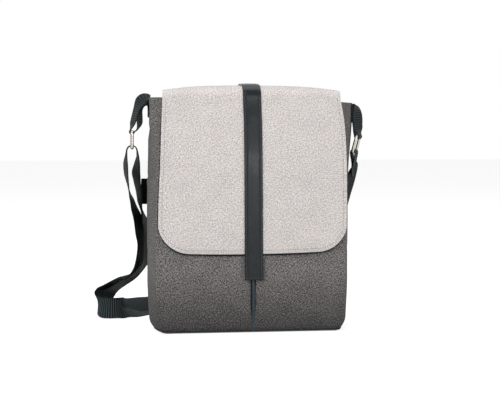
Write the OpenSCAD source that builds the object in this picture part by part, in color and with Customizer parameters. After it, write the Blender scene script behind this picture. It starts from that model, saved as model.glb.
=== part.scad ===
// Upright crossbody bag with spread gussets, a full-width flap, a leather strip and a webbing strap.
// Millimetres. The origin is the middle of the base, on the surface that the bag stands on.
// The front faces -Y, and +Z is up.

/* [Body] */
// Height of the body up to its mouth
body_h = 283; // [250:1:310]
// Width between the front seams, low down
body_w = 230; // [210:1:250]
// Width between the front seams at the mouth
mouth_w = 222; // [218:1:230]
// Depth of the body at its base
base_depth = 85; // [75:1:95]
// Depth of the body at its mouth
mouth_depth = 60; // [55:1:70]
// Thickness of the padded outer fabric
body_t = 2.4; // [1.8:0.1:3]
// How far the front and back panels belly out
belly = 3; // [1:0.5:5]
// Radius of the lower corners, seen from the front
corner_r = 15; // [10:1:20]
// Radius of the lower front and back edges
edge_r = 8; // [5:1:10]

/* [Gussets] */
// How far the gussets belly out low down
gusset_bulge = 9; // [5:1:12]
// How far the left gusset spreads at the mouth
ear_left = 12; // [8:1:18]
// How far the right gusset spreads at the mouth
ear_right = 20; // [12:1:24]
// How much lower the right gusset's spread tip hangs than the mouth
ear_drop = 6; // [0:1:8]
// Height above the base where the spread starts
ear_start = 150; // [120:5:180]

/* [Base] */
// Thickness of the leather base
base_t = 1.8; // [1.5:0.1:2.5]
// Height of the base's turned-up edge
base_lip = 4.5; // [4:0.5:7]
// Thickness of the turned-up edge
lip_t = 1.2; // [1:0.1:1.6]
// Thickness of the stiffening board
board_t = 2.5; // [1.5:0.1:3]

/* [Lining] */
// Thickness of the lining
lining_t = 0.6; // [0.4:0.1:1]
// Room between the outer fabric and the lining
lining_gap = 1.2; // [1:0.1:2]
// How far the lining's rim lies below the mouth
lining_rim = 4; // [2:1:8]

/* [Centre seam] */
// Width of the piping in the front seam
piping_w = 2.4; // [1.6:0.2:3]
// How far the piping stands proud
piping_stand = 1.2; // [0.6:0.1:1.6]

/* [Flap] */
// Width of the flap at its fold
flap_top_w = 215; // [205:1:218]
// Width of the flap lower down
flap_w = 227; // [220:1:228]
// Length of the flap below its front fold
flap_drop = 188; // [160:1:200]
// Radius of the flap's lower corners
flap_r = 30; // [20:1:40]
// Thickness of the flap's outer fabric
flap_t = 2.5; // [2:0.1:3]
// Thickness of the flap's lining
flap_lining_t = 0.8; // [0.6:0.1:1]
// How far the flap's lining shows past its fabric
lining_show = 0.8; // [0.4:0.1:1.2]
// Height of the flap's arch over the mouth, at its sides
arch_h = 11; // [8:1:14]
// How much higher the arch is in the middle
arch_crown = 3; // [1:0.5:5]
// Length of the flap's hem, sewn to the back panel
hem_h = 26; // [20:1:35]
// Room between the flap and the front panel
flap_clear = 0.6; // [0.4:0.1:1]

/* [Leather strip] */
// Width of the leather strip
strip_w = 22; // [18:1:28]
// Thickness of the leather strip
strip_t = 2.2; // [1.6:0.1:2.6]
// How far the strip's free end reaches below the flap
strip_reach = 29; // [24:1:36]

/* [Snap] */
// Radius of the magnetic snap
snap_r = 7; // [6:0.5:8]
// Thickness of the socket
socket_t = 2.2; // [1.8:0.1:2.4]
// Radius of the stud's nose
nose_r = 2.4; // [2:0.1:3]
// Height of the snap's centre above the strip's free end
snap_rise = 12; // [10:1:16]

/* [Webbing and rings] */
// Width of the webbing
web_w = 25; // [20:1:26]
// Thickness of the webbing
web_t = 1.3; // [1:0.1:1.5]
// Thickness of the ring wire
wire_d = 3.8; // [3:0.1:4.2]
// Width inside a ring
ring_w = 27; // [27:1:30]
// Height inside a ring
ring_h = 16; // [14:1:18]
// Length of a tab that is sewn to its gusset
tab_sewn = 24; // [18:1:30]
// How far the left ring's upper bar stands off its gusset
left_out = 19.4; // [14:0.2:24]
// Least distance of the right ring's upper bar from its gusset
right_out_min = 6.8; // [6:0.2:12]
// Room that the right ring's upper bar keeps outside the gusset at the height of the lower bar
right_room = 9.3; // [9:0.1:11]
// How far the rings' upper bars hang below the tops of the gussets
ring_drop = 41.5; // [38:0.5:46]
// Turn of the right tab and ring about the vertical, towards the front
right_yaw = 20; // [0:1:30]
// Lean of the right ring towards the bag
right_lean = 15; // [0:1:20]

/* [Strap slider] */
// Distance from the middle of the base back to the slider
slider_y = 152; // [146:1:170]
// Diameter of the slider's middle bar
slider_bar_d = 3; // [2.4:0.1:3.4]
// Length of each slot along the strap
slot_l = 9.5; // [9:0.5:12]
// Width of the slider's frame
slider_rim = 3; // [2.5:0.1:4]
// Thickness of the slider's frame
slider_t = 2.4; // [2:0.1:3]
// Rounding of the slider's corners
slider_round = 3; // [2:0.5:4]
// Room for the webbing across the slider
slider_room = 1.5; // [1:0.1:2]
// Length of a sewn-back strap end
lap_l = 30; // [24:1:36]

/* [Side label] */
// Height of the side label
label_h = 32; // [20:1:40]
// How far the side label stands out of its seam
label_w = 13; // [8:1:16]
// Height of the label's lower edge above the base
label_z = 151; // [140:1:170]

/* [Hidden] */

// Gap left between faces that are sewn edge to edge or glued face to face
seam = 0.05;
// Gap between hard pieces and what is looped round them
loop_gap = 0.35;
// Columns across a panel, and rows up it
across = 14;
up = 11;
// Height of the flap's two fold lines
fold_z = body_h - 2;
// Lowest points of the flap and of the strip
flap_z = fold_z - flap_drop;
strip_z = flap_z - strip_reach;
snap_z = strip_z + snap_rise;
// Offsets of the flap's fabric and of the strip from the inside of the flap's lining
face_in = flap_lining_t + seam;
face_out = face_in + flap_t;
strip_in = face_out + seam;
// Centre line of webbing looped round a ring's wire or the slider's bar
ring_loop_r = wire_d / 2 + loop_gap + web_t / 2;
bar_loop_r = slider_bar_d / 2 + loop_gap + web_t / 2;
// Step between two layers of webbing that lie on each other
layer = web_t + 0.2;
// Distance between the two bars of a ring
ring_pitch = ring_h + wire_d;
// Length of the slider along the strap, and its height across it
slider_l = slider_bar_d + 2 * slot_l + 2 * slider_rim;
slider_h = web_w + slider_room + 2 * slider_rim;
// Webbing that stands on its edge has its middle here
edge_z = web_w / 2 + 0.6;

body_grey = "#656361";
flap_grey = "#cdc8c4";
leather = "#20282d";
web_black = "#2b3135";
nickel = "#c8c6c2";

// Blends and lists
function lerp(a, b, t) = a + (b - a) * t;
function clamp01(t) = max(0, min(1, t));
function ease(t) = let (c = clamp01(t)) c * c * (3 - 2 * c);
function unit(v) = v / norm(v);
function reversed(list) = [for (i = [len(list) - 1:-1:0]) list[i]];
function flat(lists) = [for (l = lists) for (p = l) p];
function pos(s) = [s[0], s[1], s[2]];
function dir(s) = [s[3], s[4], s[5]];
function path_length(p, i = 0) = i >= len(p) - 1 ? 0 : norm(pos(p[i + 1]) - pos(p[i])) + path_length(p, i + 1);

// A smooth curve through points of any number of coordinates
function curve_at(p, i, t) = let (
    n = len(p) - 1,
    a = p[max(0, i - 1)],
    b = p[i],
    c = p[min(n, i + 1)],
    d = p[min(n, i + 2)]
) 0.5 * (2 * b + (c - a) * t + (2 * a - 5 * b + 4 * c - d) * t * t + (3 * b - a - 3 * c + d) * t * t * t);
function curve(p, steps) = concat(
    [for (i = [0:len(p) - 2]) for (k = [0:steps - 1]) curve_at(p, i, k / steps)],
    [p[len(p) - 1]]
);

// The body's form: half width, half depth and belly at a height
function tuck(z, r) = z >= r ? 0 : r - sqrt(r * r - (r - z) * (r - z));
function half_w(z) = lerp(body_w, mouth_w, ease((z - ear_start) / (body_h - ear_start))) / 2 - tuck(z, corner_r);
function half_d(z) = lerp(base_depth, mouth_depth, z / body_h) / 2 - tuck(z, edge_r);
function belly_at(z) = belly * sin(180 * clamp01(z / body_h));
function spread(z, ear) = lerp(gusset_bulge, ear, ease((z - ear_start) / (body_h - ear_start)));
function ridge(s) = 1 - pow(abs(s), 1.7);

// Points on the front, the back and a gusset, a distance off the outer face
function on_front(x, z, off) = [x, -half_d(z) - belly_at(z) * (1 - pow(x / half_w(z), 2)) - off, z];
function on_back(x, z, off) = [x, half_d(z) + belly_at(z) * (1 - pow(x / half_w(z), 2)) + off, z];
function on_gusset(s, z, side, ear, drop, off) = let (d = half_d(z) - body_t - seam) [
    side * (half_w(z) + spread(z, ear) * ridge(s) + off),
    s * d,
    z - drop * ridge(s) * pow(z / body_h, 6)
];
// Reach of a gusset at a height, where a plane turned by an angle touches it
function gusset_reach(z, ear, yaw) = half_w(z) + max([for (s = [0:0.05:0.6])
    spread(z, ear) * ridge(s) + s * half_d(z) * tan(yaw)]);
// The same at the middle of its sewn tab
function gusset_out(ear, yaw) = gusset_reach(fold_z - tab_sewn / 2, ear, yaw);

// Heights of a panel's rows: close together round the lower corner
function rows(low, high, n) = concat(
    [for (a = [0:18:72]) low + corner_r * (1 - cos(a))],
    [for (k = [0:n]) lerp(low + corner_r, high, k / n)]
);

// The body's outline at a height, drawn in by a distance, anticlockwise from above
function outline(z, inset) = let (w = half_w(z) - inset, d = half_d(z) - inset, b = belly_at(z)) concat(
    [for (k = [0:across - 1]) let (u = 2 * k / across - 1) [w * u, -d - b * (1 - u * u)]],
    [for (k = [0:9]) let (s = k / 5 - 1) [w + spread(z, ear_right) * ridge(s), s * d]],
    [for (k = [0:across - 1]) let (u = 1 - 2 * k / across) [w * u, d + b * (1 - u * u)]],
    [for (k = [0:9]) let (s = 1 - k / 5) [-w - spread(z, ear_left) * ridge(s), s * d]]
);
function outline_at(z, inset) = [for (p = outline(z, inset)) [p[0], p[1], z]];

// A closed sheet between two grids of points. Rows run up and columns run right, seen from outside.
module sheet(outer, inner) {
    r = len(outer);
    c = len(outer[0]);
    n = r * c;
    sides = [for (i = [0:r - 2]) for (j = [0:c - 2])
        let (a = i * c + j, b = a + 1, d = a + c, e = d + 1)
        each [[a, d, e], [a, e, b], [n + a, n + b, n + e], [n + a, n + e, n + d]]];
    ends = [for (j = [0:c - 2]) let (a = j, b = j + 1, p = (r - 1) * c + j, q = p + 1)
        each [[a, b, n + b], [a, n + b, n + a], [q, p, n + p], [q, n + p, n + q]]];
    edges = [for (i = [0:r - 2]) let (a = i * c, d = a + c, b = a + c - 1, e = b + c)
        each [[d, a, n + a], [d, n + a, n + d], [b, e, n + e], [b, n + e, n + b]]];
    polyhedron(concat(flat(outer), flat(inner)), concat(sides, ends, edges), convexity = 6);
}

// A closed solid through rings of points, each anticlockwise seen from the far end
function middle(ring) = [for (v = ring) 1] * ring / len(ring);
module tube(rings) {
    m = len(rings[0]);
    last = (len(rings) - 1) * m;
    near = last + m;
    far = near + 1;
    sides = [for (k = [0:len(rings) - 2]) for (j = [0:m - 1])
        let (a = k * m + j, b = k * m + (j + 1) % m, d = a + m, e = b + m)
        each [[a, d, e], [a, e, b]]];
    caps = [for (j = [0:m - 1]) let (b = (j + 1) % m) each [[near, j, b], [far, last + b, last + j]]];
    polyhedron(concat(flat(rings), [middle(rings[0]), middle(rings[len(rings) - 1])]),
        concat(sides, caps), convexity = 6);
}

// The same sheet on the front or the back of the body, between two offsets
module front_sheet(levels, from, to, n, inner_off, outer_off) {
    sheet(
        [for (z = levels) [for (j = [0:n]) on_front(lerp(from(z), to(z), j / n), z, outer_off)]],
        [for (z = levels) [for (j = [0:n]) on_front(lerp(from(z), to(z), j / n), z, inner_off)]]
    );
}
module back_sheet(levels, half, n, inner_off, outer_off) {
    sheet(
        [for (z = levels) [for (j = [0:n]) on_back(lerp(half(z), -half(z), j / n), z, outer_off)]],
        [for (z = levels) [for (j = [0:n]) on_back(lerp(half(z), -half(z), j / n), z, inner_off)]]
    );
}

// Front panel: two halves that meet at the piping
module front_panel(side) {
    color(body_grey)
    front_sheet(
        rows(base_t, body_h, up),
        side < 0 ? function (z) -half_w(z) : function (z) piping_w / 2,
        side < 0 ? function (z) -piping_w / 2 : function (z) half_w(z),
        across / 2, -body_t, 0
    );
}
module front_panel_left() front_panel(-1);
module front_panel_right() front_panel(1);

// Piping in the front seam: it stands proud below the strip and lies flush behind the snap
function piping_out(z) = piping_stand * ease((z - base_lip) / 2) * (1 - ease((z - strip_z + 1) / 3));
module centre_piping() {
    r = piping_w / 2;
    levels = concat(
        [base_t, base_lip, base_lip + 1, base_lip + 2],
        [for (k = [1:4]) lerp(base_lip + 2, strip_z - 1, k / 4)],
        [strip_z, strip_z + 1, strip_z + 2],
        [for (k = [1:8]) lerp(strip_z + 2, body_h, k / 8)]
    );
    color(leather)
    sheet(
        [for (z = levels) [for (a = [180:-36:0]) on_front(r * cos(a), z, piping_out(z) * sin(a))]],
        [for (z = levels) [for (a = [180:-36:0]) on_front(r * cos(a), z, -body_t)]]
    );
}

module back_panel() {
    color(body_grey)
    back_sheet(rows(base_t, body_h, up), function (z) half_w(z), across, -body_t, 0);
}

// A gusset, seen from its own side, with its spread tip
module gusset(side, ear, drop) {
    levels = rows(base_t, body_h, up);
    color(body_grey)
    sheet(
        [for (z = levels) [for (j = [-6:6]) on_gusset(side * j / 6, z, side, ear, drop, 0)]],
        [for (z = levels) [for (j = [-6:6]) on_gusset(side * j / 6, z, side, ear, drop, -body_t)]]
    );
}
module gusset_left() gusset(-1, ear_left, 0);
module gusset_right() gusset(1, ear_right, ear_drop);

// Leather base with its turned-up edge
module base_panel() {
    levels = [0, base_lip / 4, base_lip / 2, base_lip];
    color(leather)
    tube(concat(
        [for (z = levels) outline_at(z, -lip_t)],
        [for (z = [base_lip, base_t + corner_r * (1 - cos(18)), base_t]) outline_at(z, -seam)]
    ));
}

module base_board() {
    color("#8a7a62")
    translate([0, 0, base_t + seam])
    linear_extrude(board_t)
    polygon(outline(base_t + seam, body_t + lining_gap));
}

// Lining bag that stands on the board
module lining() {
    low = base_t + board_t + 2 * seam;
    levels = concat([for (k = [0:3]) low + k * corner_r / 4], [for (k = [1:6]) lerp(corner_r, body_h - lining_rim, k / 6)]);
    inset = body_t + lining_gap;
    color("#3c3d40")
    tube(concat(
        [for (z = levels) outline_at(z, inset)],
        [for (z = reversed(levels)) outline_at(max(z, low + lining_t), inset + lining_t)]
    ));
}

// Blank woven label in the left rear seam
module side_label() {
    function edge(z, out, back) = [-half_w(z) - out, half_d(z) - back, z];
    levels = [label_z, label_z + label_h];
    color(web_black)
    sheet(
        [for (z = levels) [edge(z, label_w, 1.6), edge(z, 4 * seam, 1.6)]],
        [for (z = levels) [edge(z, label_w, 0.6), edge(z, 4 * seam, 0.6)]]
    );
}

// Tabs: webbing sewn to a gusset, arched over its top and looped round a ring.
// Both layers' points are shares of the ring's reach and of its drop.
left_over = [[0.24, 1.1], [0.47, 1.06], [0.7, 0.86], [0.9, 0.61], [1.07, 0.35], [1.155, 0.11]];
left_under = [[0.78, 0.16], [0.7, 0.35], [0.65, 0.54], [0.58, 0.76], [0.45, 0.95], [0.3, 1.03]];
right_over = [[0.7, 1.09], [1.25, 1.01], [1.65, 0.81], [1.85, 0.57], [1.85, 0.33], [1.6, 0.12]];
right_under = [[0.65, 0.18], [0.92, 0.4], [1, 0.6], [0.95, 0.8], [0.78, 0.95]];

function tab_path(out, over, under) = let (
    inner = loop_gap + web_t / 2,
    outer = inner + layer,
    top = ring_drop
) concat(
    curve(concat(
        [[inner, top - tab_sewn], [inner, top - tab_sewn / 2], [inner, top - 3]],
        [for (p = over) [p[0] * out, p[1] * top]],
        [[out + ring_loop_r, 0]]
    ), 4),
    [for (a = [-18:-18:-162]) [out + ring_loop_r * cos(a), ring_loop_r * sin(a)]],
    curve(concat(
        [[out - ring_loop_r, 0]],
        [for (p = under) [p[0] * out, p[1] * top]],
        [[outer, top - 3], [outer, top - tab_sewn / 2], [outer, top - tab_sewn]]
    ), 4)
);
// A path in a plane, thickened to both sides
function thick_path(p, t) = let (
    n = len(p) - 1,
    normal = [for (i = [0:n]) let (d = unit(p[min(n, i + 1)] - p[max(0, i - 1)])) [-d[1], d[0]]]
) concat(
    [for (i = [0:n]) p[i] + normal[i] * t / 2],
    [for (i = [n:-1:0]) p[i] - normal[i] * t / 2]
);
module tab(out, over, under) {
    color(web_black)
    rotate([90, 0, 0])
    linear_extrude(web_w, center = true)
    polygon(thick_path(tab_path(out, over, under), web_t));
}
// Places of the two rings' upper bars and of the turned frame that the right one hangs in
left_bar_z = body_h - ring_drop;
right_bar_z = body_h - ear_drop - ring_drop;
// How far the right ring's upper bar stands off the plane of its tab
right_out = max(right_out_min,
    right_room + gusset_reach(right_bar_z - ring_pitch, ear_right, right_yaw) - gusset_out(ear_right, right_yaw));
module at_left() translate([-gusset_out(ear_left, 0), 0, left_bar_z]) mirror([1, 0, 0]) children();
module at_right() translate([gusset_out(ear_right, right_yaw), 0, right_bar_z]) rotate([0, 0, -right_yaw]) children();
module tab_left() at_left() tab(left_out, left_over, left_under);
module tab_right() at_right() tab(right_out, right_over, right_under);

// A rectangular wire ring in the YZ plane, hung from its upper bar at the origin
module ring() {
    r = wire_d / 2;
    bend = 3.4;
    half = (ring_w + wire_d) / 2;
    color(nickel)
    union() {
        for (z = [0, -ring_pitch])
            translate([0, 0, z]) rotate([90, 0, 0]) cylinder(r = r, h = 2 * (half - bend), center = true, $fn = 32);
        for (y = [-half, half])
            translate([0, y, -ring_pitch + bend]) cylinder(r = r, h = ring_pitch - 2 * bend, $fn = 32);
        for (y = [-1, 1]) for (z = [0, 1])
            translate([0, y * (half - bend), z ? -bend : bend - ring_pitch])
            rotate([90, 0, 90])
            rotate([0, 0, y > 0 ? (z ? 0 : 270) : (z ? 90 : 180)])
            rotate_extrude(angle = 90, $fn = 48) translate([bend, 0]) circle(r, $fn = 32);
    }
}
module ring_left() at_left() translate([left_out, 0, 0]) ring();
module ring_right() at_right() translate([right_out, 0, 0]) rotate([0, right_lean, 0]) ring();

// Magnetic snap: the socket on the front panel, its washer inside, and the stud on the strip
module on_snap(off) {
    p = on_front(0, snap_z, off);
    lean = atan((base_depth - mouth_depth) / 2 / body_h);
    translate(p) rotate([90 - lean, 0, 0]) children();
}
module snap_socket() {
    color(nickel)
    on_snap(0.15)
    difference() {
        cylinder(r = snap_r, h = socket_t, $fn = 64);
        translate([0, 0, 0.6]) cylinder(r = nose_r + 0.7, h = socket_t, $fn = 48);
    }
}
module snap_washer() {
    color(nickel)
    on_snap(-body_t - 0.3 - 0.6)
    cylinder(r = snap_r, h = 0.6, $fn = 64);
}
module snap_stud() {
    back = flap_clear + strip_in;
    low = 0.15 + socket_t + 0.3;
    color(nickel)
    on_snap(0)
    union() {
        translate([0, 0, low]) cylinder(r = snap_r - 0.5, h = back - low - 0.25, $fn = 64);
        translate([0, 0, low - 1.2]) cylinder(r = nose_r, h = 1.3, $fn = 48);
    }
}

// The flap over the mouth: an arch from the front fold to the back fold, at an offset from its lining
function arch(x, a, off) = let (
    front = -half_d(fold_z) - flap_clear,
    back = half_d(fold_z) + 0.3,
    mid = (front + back) / 2,
    reach = (back - front) / 2 + off,
    rise = arch_h + arch_crown * (1 - pow(2 * x / flap_top_w, 2)) + off,
    c = cos(a)
) [x, mid - reach * sign(c) * pow(abs(c), 0.72), fold_z + rise * pow(max(0, sin(a)), 0.72)];
module arch_sheet(half, n, inner_off, outer_off) {
    angles = [0, 4, 12, 24, 38, 54, 72, 90, 108, 126, 142, 156, 168, 176, 180];
    sheet(
        [for (a = angles) [for (j = [0:n]) arch(lerp(-half, half, j / n), a, outer_off)]],
        [for (a = angles) [for (j = [0:n]) arch(lerp(-half, half, j / n), a, inner_off)]]
    );
}
module flap_lining_top() {
    color("#3c3d40")
    arch_sheet(flap_top_w / 2, 12, 0, flap_lining_t);
}
module flap_face_top() {
    color(flap_grey)
    arch_sheet(flap_top_w / 2, 12, face_in, face_out);
}
module strip_top() {
    color(leather)
    arch_sheet(strip_w / 2, 2, strip_in, strip_in + strip_t);
}

// The flap's front drop, with its round lower corners
function flap_half(z) = lerp(flap_top_w, flap_w, ease((fold_z - z) / 70)) / 2 - tuck(z - flap_z, flap_r);
function flap_levels() = concat(
    [for (a = [0:15:75]) flap_z + flap_r * (1 - cos(a))],
    [for (k = [0:7]) lerp(flap_z + flap_r, fold_z, k / 7)]
);
module flap_lining_front() {
    // the lining's edge shows past the fabric below the fold
    function half(z) = flap_half(z) + lining_show * ease((fold_z - z) / 40);
    color("#3c3d40")
    front_sheet(concat([flap_z - lining_show], flap_levels()), function (z) -half(max(z, flap_z)),
        function (z) half(max(z, flap_z)), across, flap_clear, flap_clear + flap_lining_t);
}
module flap_face_front() {
    color(flap_grey)
    front_sheet(flap_levels(), function (z) -flap_half(z), function (z) flap_half(z), across,
        flap_clear + face_in, flap_clear + face_out);
}
module strip_front() {
    levels = [for (k = [0:12]) lerp(strip_z, fold_z, k / 12)];
    color(leather)
    front_sheet(levels, function (z) -strip_w / 2, function (z) strip_w / 2, 2,
        flap_clear + strip_in, flap_clear + strip_in + strip_t);
}

// The flap's and the strip's ends, sewn down on the back panel
module flap_hem() {
    color(flap_grey)
    back_sheet([for (k = [0:3]) lerp(fold_z - hem_h, fold_z, k / 3)], function (z) flap_top_w / 2, across,
        seam, face_out);
}
module strip_hem() {
    color(leather)
    back_sheet([for (k = [0:3]) lerp(fold_z - hem_h, fold_z, k / 3)], function (z) strip_w / 2, 2,
        strip_in, strip_in + strip_t);
}

// Slider on the strap: a frame that stands on its edge, with a round middle bar
module strap_slider() {
    inner_h = slider_h - 2 * slider_rim;
    color(nickel)
    translate([0, slider_y, slider_h / 2])
    union() {
        rotate([90, 0, 0])
        linear_extrude(slider_t, center = true)
        difference() {
            offset(slider_round, $fn = 32)
                square([slider_l - 2 * slider_round, slider_h - 2 * slider_round], center = true);
            square([slider_l - 2 * slider_rim, inner_h], center = true);
        }
        cylinder(r = slider_bar_d / 2, h = inner_h + 2, center = true, $fn = 32);
    }
}

// The strap's route. Each point is [x, y, z, and the direction across the webbing].
// The under layer runs from the slider to the left ring, the over layer lies outside it,
// and the single run goes on to the right ring.
under_route = [
    [-60, 156.1, 13.1, 0, 0, 1], [-82, 158, 13.1, 0, 0, 1], [-100, 161, 13.1, 0, 0, 1],
    [-115, 159, 13.1, 0, 0, 1], [-130, 150, 13.1, 0, 0, 1], [-141, 137.5, 13.1, 0, 0, 1],
    [-151, 127.5, 13.1, 0, 0, 1], [-161, 120.5, 13.1, 0, 0, 1], [-171, 119.5, 13.3, 0, 0, 1],
    [-179.5, 125, 13.6, 0, 0, 1], [-183, 134, 14.8, -0.02, -0.05, 1],
    [-180.5, 142.5, 17.6, -0.15, -0.08, 1], [-173, 146, 22.5, -0.42, 0.05, 0.9],
    [-162, 139.5, 32, -0.3, 0.5, 0.8], [-150, 122.5, 44.5, 0.05, 0.85, 0.5],
    [-139, 99, 58.5, 0, 0.97, 0.2], [-128.5, 71, 80, -0.45, 0.9, 0], [-125.9, 49.8, 106, -0.65, 0.75, 0],
    [-138, 28.5, 138, -0.47, 0.88, 0], [-141.2, 19, 150, -0.35, 0.93, 0], [-145.5, 9, 170, -0.26, 0.97, 0],
    [-149, 3, 186, -0.17, 0.98, 0], [-150.6, 0.5, 201, -0.1, 1, 0], [-148.6, 0, 213, 0, 1, 0]
];
over_route = [
    [-60, 154.2, 13.1, 0, 0, 1], [-82, 153.6, 13, 0, 0.15, 1], [-100, 149.5, 11, -0.25, 0.5, 0.83],
    [-113, 143, 7.5, -0.4, 0.75, 0.5], [-125, 134.5, 4.4, -0.6, 0.77, 0.2],
    [-135, 123, 3.6, -0.7, 0.7, 0.15], [-145, 111, 3.6, -0.55, 0.82, 0.15],
    [-157, 103, 4.2, -0.1, 0.97, 0.2], [-170, 103.5, 7.4, 0.1, 0.87, 0.45],
    [-181, 112, 11.6, 0.3, 0.45, 0.85], [-187.5, 123.5, 13.2, 0.05, 0.1, 1],
    [-189, 133.7, 14.7, -0.02, -0.05, 1], [-184.2, 145.8, 17.3, -0.15, -0.08, 1],
    [-172.3, 150.4, 22.6, -0.42, 0.05, 0.9], [-158.8, 142.2, 31.5, -0.3, 0.5, 0.8],
    [-146.9, 123.2, 42.9, 0.05, 0.85, 0.5], [-136.6, 99.2, 57.4, 0, 0.97, 0.2],
    [-126.5, 72, 80.5, -0.45, 0.9, 0], [-124.5, 51, 107.1, -0.65, 0.75, 0],
    [-129.7, 30.2, 138, -0.57, 0.82, 0], [-131.5, 19, 152, -0.5, 0.86, 0], [-134.6, 9, 170, -0.45, 0.89, 0],
    [-137, 2, 186, -0.36, 0.93, 0], [-137, 0.5, 201, -0.3, 0.95, 0], [-138.2, 0, 213, -0.1, 1, 0]
];
single_route = [
    [30, 154.2, 15.6, 0, 0, 1], [52, 154.2, 14.2, 0, 0, 1], [74, 152.5, 13.6, 0, 0, 1], [93, 143, 16, 0, 0.1, 1],
    [106, 124, 28, 0.1, 0.3, 0.9], [115, 101, 50, 0.2, 0.6, 0.7], [122, 78, 76, 0.2, 0.85, 0.4],
    [128, 53, 106, 0.25, 0.93, 0.1], [132, 31, 138, 0.3, 0.95, 0], [134, 14, 166, 0.32, 0.95, 0],
    [134.1, 4.8, 186, 0.34, 0.94, 0]
];

// Lower bars of the two rings
left_low = [-gusset_out(ear_left, 0) - left_out, 0, left_bar_z - ring_pitch];
right_reach = right_out - ring_pitch * sin(right_lean);
right_low = [
    gusset_out(ear_right, right_yaw) + right_reach * cos(right_yaw),
    -right_reach * sin(right_yaw),
    right_bar_z - ring_pitch * cos(right_lean)
];
right_dir = [cos(right_yaw), -sin(right_yaw), 0];
right_across = [sin(right_yaw), cos(right_yaw), 0];
// The routes were laid out for a body of this width, a slider at this distance and rings at these places.
// They keep their share of the width and of the distance, and a point follows its ring in proportion to its height.
laid_w = 230;
laid_y = 152;
left_laid = [-142.4, 0, 221.7];
right_laid = [132.5, -0.6, 216.4];
function shared(p) = [p[0] * body_w / laid_w, p[1] * slider_y / laid_y, p[2]];
function follow(route, low, laid) = [for (p = route)
    let (q = shared(p) + (low - shared(laid)) * clamp01((p[2] - edge_z) / (laid[2] - edge_z)))
    [q[0], q[1], q[2], p[3], p[4], p[5]]];
function station(p, d) = [p[0], p[1], p[2], d[0], d[1], d[2]];
upright = [0, 0, 1];
// Through the slider: the sewn end loops round the bar, and the other layer passes over it
function at_slider(x, y) = station([x, slider_y + y, slider_h / 2], upright);
below = slider_t / 2 + loop_gap + web_t / 2;
sewn_end = [
    at_slider(-lap_l, below + layer), at_slider(-20, below + layer), at_slider(-13, below + layer),
    at_slider(-9.8, below + layer * 0.7), at_slider(-7, 1.2), at_slider(-5.2, -0.9), at_slider(-3, -bar_loop_r * 0.9)
];
bar_loop = [for (a = [-90:30:90]) at_slider(bar_loop_r * cos(a), bar_loop_r * sin(a))];
loop_out = [
    at_slider(-3.5, bar_loop_r + 1.4), at_slider(-8, below + 2 * layer - 0.2), at_slider(-13, below + 2 * layer),
    at_slider(-24, below + 2 * layer), at_slider(-36, below + 1.8 * layer), at_slider(-46, below + 1.2 * layer)
];
over_bar = [
    at_slider(-46, below), at_slider(-24, below), at_slider(-14, below), at_slider(-11.8, below),
    at_slider(-10, 1.3), at_slider(-9.3, -0.5), at_slider(-7.7, -2.5),
    at_slider(-4.2, -bar_loop_r - layer * 0.95), at_slider(0, -bar_loop_r - layer),
    at_slider(4.2, -bar_loop_r - layer * 0.7), at_slider(7.9, -1.7), at_slider(9.3, 0.5), at_slider(10.3, 1.9),
    at_slider(12, below), at_slider(20, below)
];
// Round the rings' lower bars
left_loop = [for (a = [180:-30:0])
    station(left_low + ring_loop_r * [cos(a), 0, sin(a)], [0, 1, 0])];
right_loop = [for (a = [0:30:180])
    station(right_low + ring_loop_r * (cos(a) * right_dir + sin(a) * upright), right_across)];
// Below the right ring the run and its sewn-back end lie on each other, along this direction
right_hang = unit([0, 0.1, -1]);
function by_ring(side, d) = station(
    right_low + right_dir * side * (d < 6 ? ring_loop_r * 0.9 : layer / 2) + right_hang * d, right_across);
right_up = [for (d = [14, 4]) by_ring(1, d)];
right_lap = [for (d = [4, 14, 22, lap_l]) by_ring(-1, d)];

strap_line = concat(
    curve(sewn_end, 3), bar_loop,
    curve(concat(loop_out, follow(under_route, left_low, left_laid)), 3), left_loop,
    curve(concat(reversed(follow(over_route, left_low, left_laid)), over_bar,
        follow(single_route, right_low, right_laid), right_up), 3),
    right_loop, curve(right_lap, 1)
);

// Webbing along stations: a flat section carried square to the path
function section(s, i) = let (
    n = len(s) - 1,
    t = unit(pos(s[min(n, i + 1)]) - pos(s[max(0, i - 1)])),
    normal = unit(cross(t, dir(s[i]))),
    wide = cross(normal, t) * web_w / 2,
    deep = normal * web_t / 2,
    p = pos(s[i])
) [p + wide + deep, p - wide + deep, p - wide - deep, p + wide - deep];
module shoulder_strap() {
    echo(strap_length = path_length(strap_line), stations = len(strap_line));
    color(web_black)
    tube([for (i = [0:len(strap_line) - 1]) section(strap_line, i)]);
}

front_panel_left();
front_panel_right();
centre_piping();
back_panel();
gusset_left();
gusset_right();
base_panel();
base_board();
lining();
side_label();
tab_left();
tab_right();
snap_socket();
snap_washer();
flap_hem();
strip_hem();
flap_face_top();
flap_lining_top();
strip_top();
flap_face_front();
flap_lining_front();
strip_front();
snap_stud();
ring_left();
ring_right();
strap_slider();
shoulder_strap();
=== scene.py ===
"""Upright crossbody bag with spread gussets, a full-width flap, a leather strip and a webbing strap.

Everything is laid out in millimetres in the packed model's frame and turned into metres
when a mesh is made. The front faces -Y and +Z is up.
"""

import math

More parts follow.
